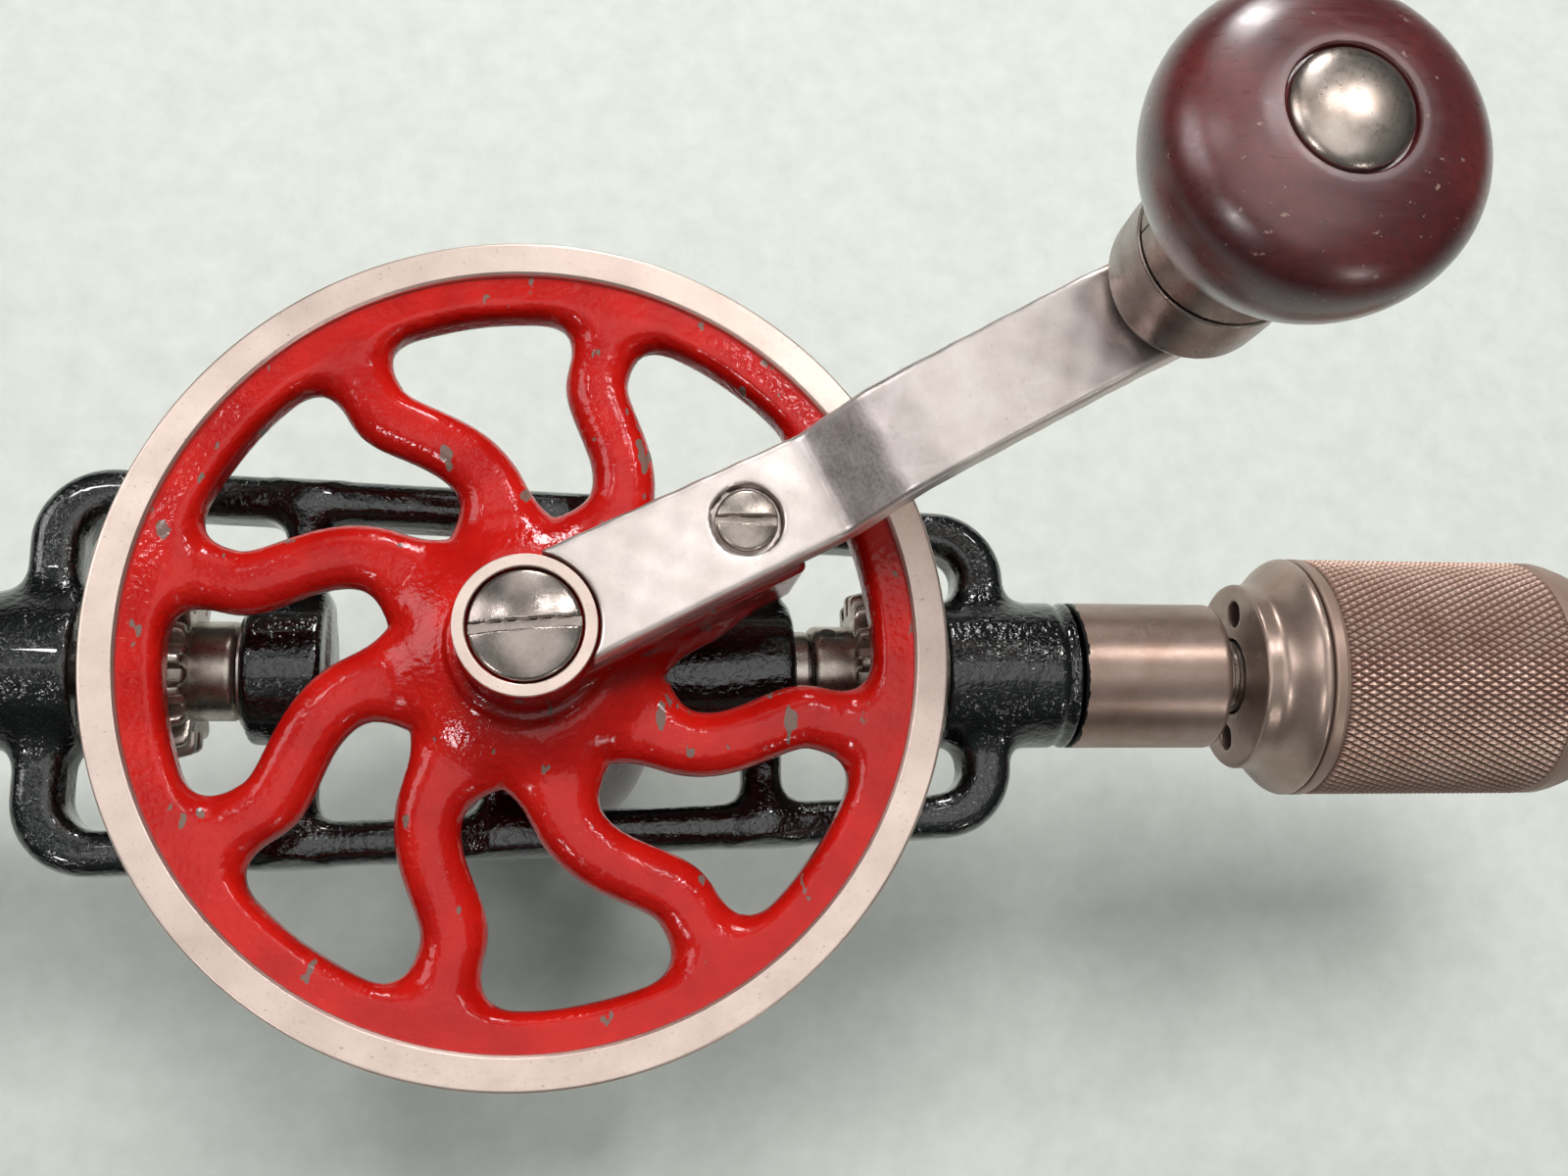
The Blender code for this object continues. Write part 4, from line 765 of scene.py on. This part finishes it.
knobAt = tuple(knobPlace[:2])
washer = roundedProfile([(46.5, 3.1, 0.1), (46.5, 6.0, 0.2), (47.4, 6.0, 0.2), (47.4, 3.1, 0.1)], closed=True)
makeTurned(
    "knobWasher", washer, knobSteel, "gear_body", ("knob_washer",), "bright_steel", closed=True, axis="Z",
    center=knobAt,
)
collar = roundedProfile([
    (47.7, 3.1, 0.2), (47.7, 7.9, 0.5), (49.5, 8.75, 1.4), (53.0, 8.85, 2), (58.4, 8.85, 0.25), (58.4, 3.1, 0.2),
], closed=True)
makeTurned(
    "knobCollar", collar, knobSteel, "knob_body", ("knob_collar",), "bright_steel", closed=True, axis="Z",
    center=knobAt, steps=128,
)
ferrule = roundedProfile([(58.7, 7.8, 0.15), (58.7, 8.65, 0.25), (64.3, 8.5, 0.25), (64.3, 7.8, 0.15)], closed=True)
seam = {"angle": math.radians(178), "half": 0.008, "depth": 0.5}
seamAngles = seam["angle"] + np.concatenate([
    [-0.05, -0.02, -0.012, 0, 0.012, 0.02, 0.05], np.linspace(0.1, 2 * math.pi - 0.1, 120),
])


# The ferrule is a bent strip, so its two ends leave a thin groove
def seamGroove(along, radius, angles):
    return -seam["depth"] * (np.abs(angles - seam["angle"]) < seam["half"]) * (radius > 8)


makeTurned(
    "knobFerrule", ferrule, knobSteel, "knob_body", ("knob_ferrule",), "brown_steel", closed=True, axis="Z",
    center=knobAt, angles=seamAngles, swell=seamGroove,
)
knobCurve = smoothProfile([
    (64.6, 8.6), (65.3, 9.4), (66.7, 10.7), (69.0, 12.3), (72.0, 13.85), (75.0, 14.8), (77.9, 15.08), (80.3, 14.55),
    (82.3, 12.9), (83.6, 10.5), (84.3, 8.3), (84.55, 6.9), (84.62, 5.95),
], 7)
knobOutline = np.vstack([
    [(58.7, 3.1)], [(58.7, 7.5)], [(64.6, 7.5)], knobCurve, [(84.4, 5.75)], [(83.9, 5.7)], [(83.9, 3.1)],
])
makeTurned(
    "knobWood", knobOutline, knobWood, "knob_body", ("crank_knob",), "red_wood", closed=True, axis="Z",
    center=knobAt, steps=160,
)
dome = [(84.15 + 1.8 * math.sin(t), 5.5 * math.cos(t)) for t in np.linspace(0.12, math.pi / 2, 20)]
rivet = np.vstack([[(41.6, 0)], [(41.6, 2.8)], [(84.0, 2.8)], [(84.0, 5.4)], dome])
rivet[-1, 1] = 0
makeTurned(
    "knobRivet", rivet, rivetSteel, "gear_body", ("knob_rivet",), "bright_steel", axis="Z", center=knobAt, steps=96,
)
print("knob made")


# Pinions


# Radius of a pinion's tooth at an angle, over its pitch radius: flanks rise in a smooth step from root to tip
def pinionWave(angles):
    share = np.abs((angles / (2 * math.pi) * pinionTeeth + 0.5) % 1 - 0.5)
    widths = np.array([0.0, 0.1, 0.125, 0.17, 0.225, 0.29, 0.32, 0.5])
    heights = np.array([0.103, 0.103, 0.095, 0.06, 0.0, -0.13, -0.158, -0.158])
    return np.interp(share, widths, heights)


pinionCut = {"foot": 39.1, "back": 34.0, "hub": 5.96, "end": 49.6}


def makePinion(name, side, bore, node, body):
    half = np.array([0.1, 0.125, 0.17, 0.225, 0.29, 0.32, 0.41])
    shares = np.concatenate([[-0.5], -half[::-1], [0], half])
    angles = (np.arange(pinionTeeth)[:, None] + shares[None, :]).ravel() * 2 * math.pi / pinionTeeth + math.pi / 2
    wave = pinionWave(angles - math.pi / 2)
    foot, back = pinionCut["foot"], pinionCut["back"]
    hubRadius, end = pinionCut["hub"], pinionCut["end"]
    hub = roundedProfile([(foot, bore, 0), (back, bore, 0.2), (back, hubRadius, 1.0), (foot, hubRadius, 0)], 5, 1.5)
    rings = [ringOf(angles, along, radius) for along, radius in hub]
    for along, trim in (
        (foot, 0.35), (39.3, 0.1), (39.6, 0), (42.3, 0), (45.0, 0), (47.2, 0), (47.45, 0.1), (47.6, 0.35),
    ):
        rings.append(ringOf(angles, along, along * toothSlope * (1 + wave) - trim))
    tail = roundedProfile([(47.6, hubRadius, 0), (end, hubRadius, 0.3), (end, bore, 0), (foot, bore, 0)], 4, 3)
    rings += [ringOf(angles, along, radius) for along, radius in tail[:-1]]
    section = np.array(rings)
    points = np.stack(
        [side * section[..., 0], section[..., 1] * np.cos(angles), section[..., 1] * np.sin(angles)], axis=-1
    ).reshape(-1, 3)
    faces = gridFaces(len(rings), len(angles), wrapRows=True)
    return makePiece(name, points, faces, pinionSteel, body, (node,), 35)


makePinion("drivePinion", 1, 4.3, "drive_pinion", "spindle_body")
makePinion("idlerPinion", -1, 3.5, "idler_pinion", "idler_body")


# A flat ring with eased edges
def makeRing(name, low, high, inner, outer, edge, material, body, node, slot, axis="X"):
    corners = [(low, inner, edge), (low, outer, edge), (high, outer, edge), (high, inner, edge)]
    profile = roundedProfile(corners, 4, 4, True)
    makeTurned(name, profile, material, body, (node,), slot, closed=True, axis=axis)


makeRing("spindleWasher", 31.9, 33.7, 4.3, 5.3, 0.2, turnedSteel, "spindle_body", "spindle_washer", "bright_steel")
makeRing("idlerWasher", -33.7, -33.3, 3.5, 6.9, 0.1, turnedSteel, "frame_body", "idler_washer", "bright_steel")
print("pinions made")


# Spindle, thrust collar and chuck


spindle = roundedProfile([
    (19, 0), (19, 4.0, 0.3), (49.9, 4.0), (49.9, 4.6), (75.5, 4.6), (75.5, 7.1, 0.2), (78.5, 7.1, 0.2), (78.5, 4.6),
    (87.4, 4.6), (88.5, 4.6, 0.2), (88.6, 4.2), (89.1, 4.2), (89.2, 4.6), (99.0, 4.6, 0.3), (99.0, 0),
], 4, 4)
makeTurned("spindleShaft", spindle, turnedSteel, "spindle_body", ("spindle",), "bright_steel", steps=64)
collarShape = roundedProfile([
    (67.4, 7.63, 0.15), (67.4, 9.23, 0.2), (86.5, 9.23, 1.0), (86.5, 4.9, 0.2), (83.1, 4.9, 0.1), (83.1, 7.63, 0.1),
], 6, 2, True)
makeTurned(
    "thrustCollar", collarShape, collarSteel, "frame_body", ("thrust_collar",), "brown_steel", closed=True, steps=128,
)

chuckShape = {
    "back": 89.6, "flange": 11.9, "flare": (91.5, 96.1), "sleeve": 15.3, "flareEnd": 96.5, "core": 96.4,
    "shank": 12.6, "step": 131.8, "front": 10.3, "taper": (144, 0.625), "nose": 148.0, "hole": (8.1, 1.7, 93.6),
    "bore": (4.9, 99.3), "nutGroove": (128.75, 3.05, 10.0), "socket": (4.3, 126.0), "jawBore": (2.2, 114.7),
}
jawTilt = math.radians(15)
jawCross = 148.7 + 2.9 / math.tan(jawTilt)


# Distance from the nearest of the three jaws' middle lines, which cross the spindle's axis in front
def jawLineDistance(x, y, z):
    best = None
    for index in range(3):
        turn = 2 * math.pi / 3 * index
        up = z * math.cos(turn) - y * math.sin(turn)
        side = y * math.cos(turn) + z * math.sin(turn)
        off = (up - (jawCross - x) * math.tan(jawTilt)) * math.cos(jawTilt)
        away = np.hypot(off, side)
        best = away if best is None else np.minimum(best, away)
    return best


# The chuck's back: a flange with two spanner holes, then a flare that climbs to the sleeve's radius in a
# smooth step; lean turns the height over the flare into the distance from it
def chuckBackField(x, y, z):
    shape = chuckShape
    radius = np.hypot(y, z)
    low, high = shape["flare"]
    rise = shape["sleeve"] - shape["flange"]
    share = np.clip((x - low) / (high - low), 0, 1)
    lean = 1 / np.sqrt(1 + (rise * 6 * share * (1 - share) / (high - low)) ** 2)
    back, end = shape["back"], shape["flareEnd"]
    flare = (radius - shape["flange"] - rise * between(x, low, high)) * lean
    body = roundCorner(flare, np.abs(x - (back + end) / 2) - (end - back) / 2, 0.35)
    circle, holeRadius, holeEnd = shape["hole"]
    hole = np.hypot(np.abs(z * 0.34 + y * 0.94) - circle, z * 0.94 - y * 0.34)
    body = carve(body, np.maximum(hole - holeRadius, x - holeEnd), 0.2)
    return carve(body, radius - shape["bore"][0], 0.3)


makeCast(
    "chuckFlare", chuckBackField, (89.0, -15.9, -15.9), (97.1, 15.9, 15.9), 0.26, chuckSteel, "spindle_body",
    ("chuck_body",), sharpAngle=45,
)


# The chuck's core in front: a shank under the sleeve, the nose, the socket and the three slanting bores
def chuckCoreField(x, y, z):
    shape = chuckShape
    radius = np.hypot(y, z)
    outer = np.where(x < shape["step"], shape["shank"], shape["front"])
    taperStart, taper = shape["taper"]
    nose = (radius - outer + (x - taperStart) * taper * (x > taperStart)) * 0.85
    body = np.maximum(nose, np.maximum(shape["core"] - x, x - shape["nose"]))
    boreRadius, boreEnd = shape["bore"]
    body = carve(body, np.maximum(radius - boreRadius, x - boreEnd), 0.2)
    grooveMiddle, grooveHalf, grooveFloor = shape["nutGroove"]
    body = carve(body, np.maximum(np.abs(x - grooveMiddle) - grooveHalf, grooveFloor - radius), 0.2)
    socketRadius, socketEnd = shape["socket"]
    body = carve(body, np.maximum(radius - socketRadius, socketEnd - x), 0.3)
    jawRadius, jawStart = shape["jawBore"]
    return carve(body, np.maximum(jawLineDistance(x, y, z) - jawRadius, jawStart - x), 0.3)


makeCast(
    "chuckCore", chuckCoreField, (95.6, -13.4, -13.4), (148.7, 13.4, 13.4), 0.4, chuckSteel, "spindle_body", (),
    sharpAngle=40,
)

# Diamond knurl: along and round give one diamond's size, in mm
knurl = {"start": 98.7, "end": 128.4, "along": 1.95, "round": 1.034, "depth": 0.42, "flat": 0.1}


# A grid at quarter steps of the diamonds. A diamond's height falls with |along| + |round| from its middle,
# and each face is split along its own valley, so the ridges stay straight
def makeSleeve():
    top, start = chuckShape["sleeve"], knurl["start"]
    length = knurl["end"] - start
    columns = round(2 * math.pi * top / knurl["round"]) * 4
    rows = round(length / knurl["along"] * 4)
    rows -= rows % 4
    back = roundedProfile([(96.8, 14.0), (96.8, top, 0.35), (98.2, top, 0.15), (98.5, 14.95), (start, 14.88)], 4, 1)
    front = [
        (128.7, 14.88), (129.1, 15.2), (130.2, 15.2), (131.4, 14.9), (133.2, 14.25), (135.2, 13.35), (137.4, 12.35),
        (139.4, 11.6), (140.7, 11.2), (141.0, 10.9), (141.0, 10.6), (131.8, 11.6), (131.8, 14.0), (118, 14.0),
    ]
    middle = [(start + length / rows * row, 0) for row in range(rows + 1)]
    profile = np.vstack([back[:-1], middle, front])
    first = len(back) - 1
    last = first + rows
    angles = np.arange(columns) * 2 * math.pi / columns
    radius = np.repeat(profile[:, 1:2], columns, axis=1)
    u = (np.arange(rows + 1)[:, None] % 4) / 4
    v = (np.arange(columns)[None, :] % 4) / 4
    toPeak = np.abs((u + 0.5) % 1 - 0.5) + np.abs((v + 0.5) % 1 - 0.5)
    toOther = np.abs(u - 0.5) + np.abs(v - 0.5)
    height = np.clip((0.5 - np.minimum(toPeak, toOther)) / (0.5 - knurl["flat"]), 0, 1)
    height[[0, -1]] = 0
    radius[first:last + 1] = top - knurl["depth"] * (1 - height)
    along = np.repeat(profile[:, :1], columns, axis=1)
    points = np.stack([along, radius * np.cos(angles), radius * np.sin(angles)], axis=-1).reshape(-1, 3)
    quads = gridFaces(len(profile), columns, wrapRows=True)
    quadRow = np.repeat(np.arange(len(profile)), columns)
    quadColumn = np.tile(np.arange(columns), len(profile))
    flip = (((quadRow - first) // 2 + quadColumn // 2) % 2 == 1)[:, None]
    one = np.where(flip, quads[:, [0, 1, 2]], quads[:, [0, 1, 3]])
    two = np.where(flip, quads[:, [0, 2, 3]], quads[:, [1, 2, 3]])
    faces = np.vstack([one, two])
    return makePiece("chuckSleeve", points, faces, knurlSteel, "sleeve_body", ("chuck_sleeve",), 22)


knurlColor = {"valley": "#61443A", "light": "#E2C1B1", "dark": "#C5A08E", "tip": "#EADDD4", "band": "#A1877B"}


# Browned steel, darker towards the valleys of its diamonds, with a painted highlight on their rubbed tips
def knurledSteel():
    material, tree, shader, place = startMaterial("knurledSteelSleeve", Metallic=0.5)
    top = chuckShape["sleeve"]
    centre = add(tree, "VectorMath", {0: place, 1: gearCenter}, operation="SUBTRACT")
    cross = add(tree, "VectorMath", {0: centre, 1: spindleAxis}, operation="CROSS_PRODUCT")
    radius = add(tree, "VectorMath", {0: cross}, "Value", operation="LENGTH")
    height = add(tree, "MapRange", {
        "Value": radius, "From Min": (top - knurl["depth"]) * mm, "From Max": (top - 0.01) * mm,
    })
    blotch = add(tree, "TexNoise", {"Vector": place, "Scale": 1 / (7 * mm), "Detail": 5.0, "Roughness": 0.6})
    tarnish = add(tree, "MapRange", {"Value": blotch, "From Min": 0.35, "From Max": 0.65})
    brown = add(tree, "Mix", {0: tarnish, 6: knurlColor["light"], 7: knurlColor["dark"]})
    # Darker towards the valleys and lighter towards the tips, by the depth of the knurl
    color = add(tree, "Mix", {0: height, 6: knurlColor["valley"], 7: brown})
    # Painted highlight on the tips of the diamonds, where they are also rubbed bright
    tipHighlightMask = add(tree, "MapRange", {"Value": height, "From Min": 0.8, "To Max": 0.75})
    # Only the knurl gets the painted tip highlight: the plain bands at its ends stay brown
    along = add(tree, "SeparateXYZ", {"Vector": centre}, "X")
    middle, half = (knurl["start"] + knurl["end"]) / 2, (knurl["end"] - knurl["start"]) / 2
    within = add(tree, "Math", {0: along, 1: middle * mm, 2: half * mm}, operation="COMPARE")
    knurlTipHighlight = add(tree, "Math", {0: tipHighlightMask, 1: within}, operation="MULTIPLY")
    # Mixes in the painted tip highlight
    bright = add(tree, "Mix", {0: knurlTipHighlight, 6: color, 7: knurlColor["tip"]})
    rough = add(tree, "MapRange", {"Value": height, "To Min": 0.55, "To Max": 0.4})
    whole = add(tree, "Mix", {0: within, 6: knurlColor["band"], 7: bright})
    tree.links.new(whole, shader.inputs["Base Color"])
    tree.links.new(rough, shader.inputs["Roughness"])
    return material


knurlSteel = knurledSteel()
makeSleeve()
print("chuck made")


# Handles


handleShape = {"length": 126, "ferrule": 16.7, "lines": (12, 110, 112.4), "sideLines": (-27.5, -79.0)}


# Thin lines turned into a profile at the given places, wherever its radius is over a limit
def cutLines(profile, places, depth=0.35, width=0.45, over=9):
    for place in places:
        profile[:, 1] -= depth * np.exp(-((profile[:, 0] - place) / width) ** 2) * (profile[:, 1] > over)


# The main handle's places are counted from its butt
def makeMainHandle():
    butt = -(drillOrigin[0] / mm)
    low = butt + handleShape["length"]
    high = low + handleShape["ferrule"]
    curve = smoothProfile([
        (butt, 9.0), (butt + 0.5, 11.2), (butt + 2.6, 13.6), (butt + 7.5, 15.6), (butt + 15.5, 16.15),
        (butt + 30, 15.95), (butt + 50, 15.1), (butt + 70, 13.95), (butt + 88, 12.8), (butt + 104, 11.8),
        (butt + 116, 11.0), (low - 0.4, 10.5),
    ], 8)
    outline = np.vstack([[(butt, 0)], [(butt, 8.6)], curve, [(low - 0.3, 8.9)], [(high, 8.9)], [(high, 0)]])
    cutLines(outline, [butt + line for line in handleShape["lines"]])
    makeTurned("mainHandle", outline, handleWood, "frame_body", ("main_handle",), "red_wood", steps=128)
    ferrule = roundedProfile([(low, 9.2, 0.2), (low, 10.1, 0.3), (high, 10.1, 0.3), (high, 9.2, 0.2)], 4, 1, True)
    cutLines(ferrule, (low + 3, high - 3), 0.25, 0.4, 9.8)
    makeTurned(
        "handleFerrule", ferrule, turnedSteel, "frame_body", ("handle_ferrule",), "bright_steel", closed=True, steps=96,
    )


def makeSideHandle():
    side = smoothProfile([
        (-22.1, 9.3), (-22.9, 10.2), (-25.5, 11.4), (-29.5, 13.1), (-35.5, 15.4), (-42.5, 16.95), (-50, 17.4),
        (-58, 17.35), (-66, 16.8), (-74, 15.75), (-81, 14.35), (-85.6, 12.9), (-87.6, 12.0), (-88.05, 11.4),
    ], 8)
    outline = np.vstack([
        [(-14.8, 3.5)], [(-14.8, 8.4)], [(-22.1, 8.4)], side, [(-88.1, 11.0)], [(-88.1, 0)], [(-41, 0)], [(-41, 3.5)],
    ])
    cutLines(outline, handleShape["sideLines"])
    makeTurned(
        "sideHandle", outline, sideWood, "frame_body", ("side_handle",), "red_wood", closed=True, axis="Z", steps=128,
    )


makeMainHandle()
makeSideHandle()
makeRing(
    "sideWasher", -14.5, -12.3, 3.5, 10.5, 0.3, turnedSteel, "frame_body", "side_handle_washer", "bright_steel", "Z",
)
makeRing(
    "sideFerrule", -21.8, -14.8, 8.7, 9.6, 0.3, turnedSteel, "frame_body", "side_handle_ferrule", "bright_steel", "Z",
)
print("handles made")

# CAD nodes that keep their shape: small or inside the assembly
for node in ("idler_shaft", "handle_pin", "drive_pinion_pin", "bearing_balls", "thrust_race", "jaw_nut",
             "side_handle_stud", "chuck_jaw_1", "chuck_jaw_2", "chuck_jaw_3"):
    mesh = frame["nodes"][node].data
    mesh.materials.clear()
    mesh.materials.append(innerSteel)


# Floor, light and camera


# Pale sheet with a faint mottle
def paleSheet():
    material, tree, shader, place = startMaterial("paleSheet", Roughness=0.8)
    mottle = add(tree, "TexNoise", {"Vector": place, "Scale": 1 / (5 * mm), "Detail": 4.0, "Roughness": 0.6})
    tone = add(tree, "Mix", {0: mottle, 6: "#C8CCC6", 7: "#E3E6E1"})
    tree.links.new(tone, shader.inputs["Base Color"])
    return material


def makeFloor():
    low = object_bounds()[0].z
    reach = 6.0
    mesh = bpy.data.meshes.new("floor")
    corners = [(-reach, -reach, low), (reach, -reach, low), (reach, reach, low), (-reach, reach, low)]
    mesh.from_pydata(corners, [], [(0, 1, 2, 3)])
    mesh.materials.append(paleSheet())
    floor = bpy.data.objects.new("floor", mesh)
    bpy.context.scene.collection.objects.link(floor)


# Soft lamps light the surfaces, and pale cards and small lamps are what the metal and the enamel mirror
# Each has its place in m from the gear's axis, its size in m, its power in W, its colour and what it reaches
lights = {
    "ceiling": ((-0.03, 0.27, 0.85), 0.32, 6.8, (1.0, 1.0, 0.99), "matt"),
    "card": ((0.06, -0.06, 0.85), 0.64, 1.5, (1.0, 0.99, 0.98), "gloss"),
    "upperCard": ((-0.06, 0.62, 0.62), 0.34, 0.4, (1.0, 0.99, 0.98), "gloss"),
    "window": ((0.12, 0.72, 0.62), 0.3, 2.0, (1.0, 0.985, 0.96), "matt"),
    "glint": ((0.08, 0.82, 0.42), 0.13, 2.6, (1.0, 1.0, 1.0), "gloss"),
    "leftWindow": ((-0.66, 0.24, 0.58), 0.42, 2.4, (0.98, 0.98, 1.0), "gloss"),
    "leftCard": ((-0.50, -0.45, 0.66), 0.09, 1.2, (1.0, 0.98, 0.97), "gloss"),
    "lowerRight": ((0.5, -0.68, 0.42), 0.07, 0.5, (1.0, 0.98, 0.95), "gloss"),
    "lamp": ((0.42, 0.40, 0.76), 0.08, 1.2, (1.0, 0.99, 0.97), "both"),
    "leftSpot": ((-0.30, 0.28, 0.80), 0.05, 0.35, (1.0, 1.0, 1.0), "gloss"),
    "rightSpot": ((0.20, 0.38, 0.80), 0.06, 0.5, (1.0, 1.0, 1.0), "gloss"),
}


def makeLights():
    for name, (place, size, power, color, reached) in lights.items():
        data = bpy.data.lights.new(name, "AREA")
        data.size = size
        data.energy = power
        data.color = color
        lamp = bpy.data.objects.new(name, data)
        lamp.location = Vector(drillOrigin) + Vector(place)
        lamp.rotation_euler = Vector(place).to_track_quat("Z", "Y").to_euler()
        lamp.visible_diffuse = reached != "gloss"
        lamp.visible_glossy = reached != "matt"
        bpy.context.scene.collection.objects.link(lamp)
    world = bpy.data.worlds.new("studio")
    world.use_nodes = True
    # A room that is pale overhead and dim near the floor, so that round metal darkens at its sides
    tree = world.node_tree
    toSky = add(tree, "TexCoord", output="Generated")
    height = add(tree, "SeparateXYZ", {"Vector": toSky}, "Z")
    overhead = add(tree, "MapRange", {"Value": height, "From Min": 0.15, "From Max": 0.95})
    room = add(tree, "Mix", {0: overhead, 6: "#3A3E3C", 7: "#8C9290"})
    tree.links.new(room, tree.nodes["Background"].inputs["Color"])
    bpy.context.scene.world = world
    bpy.context.scene.view_settings.view_transform = "Standard"


camera = {"lensMm": 36.705, "place": (0.22166, -0.03109, 0.19604), "turns": (-12.12, 7.59, -0.69)}


def makeCamera():
    data = bpy.data.cameras.new("photoView")
    data.sensor_width = 36
    data.lens = camera["lensMm"]
    data.clip_start = 0.01
    item = bpy.data.objects.new("photoView", data)
    aboutX, aboutY, aboutZ = (math.radians(turn) for turn in camera["turns"])
    turn = Matrix.Rotation(aboutZ, 3, "Z") @ Matrix.Rotation(aboutY, 3, "Y") @ Matrix.Rotation(aboutX, 3, "X")
    item.matrix_world = Matrix.Translation(camera["place"]) @ turn.transposed().to_4x4()
    bpy.context.scene.collection.objects.link(item)
    bpy.context.scene.camera = item


makeFloor()
makeLights()
makeCamera()
print("stage made")
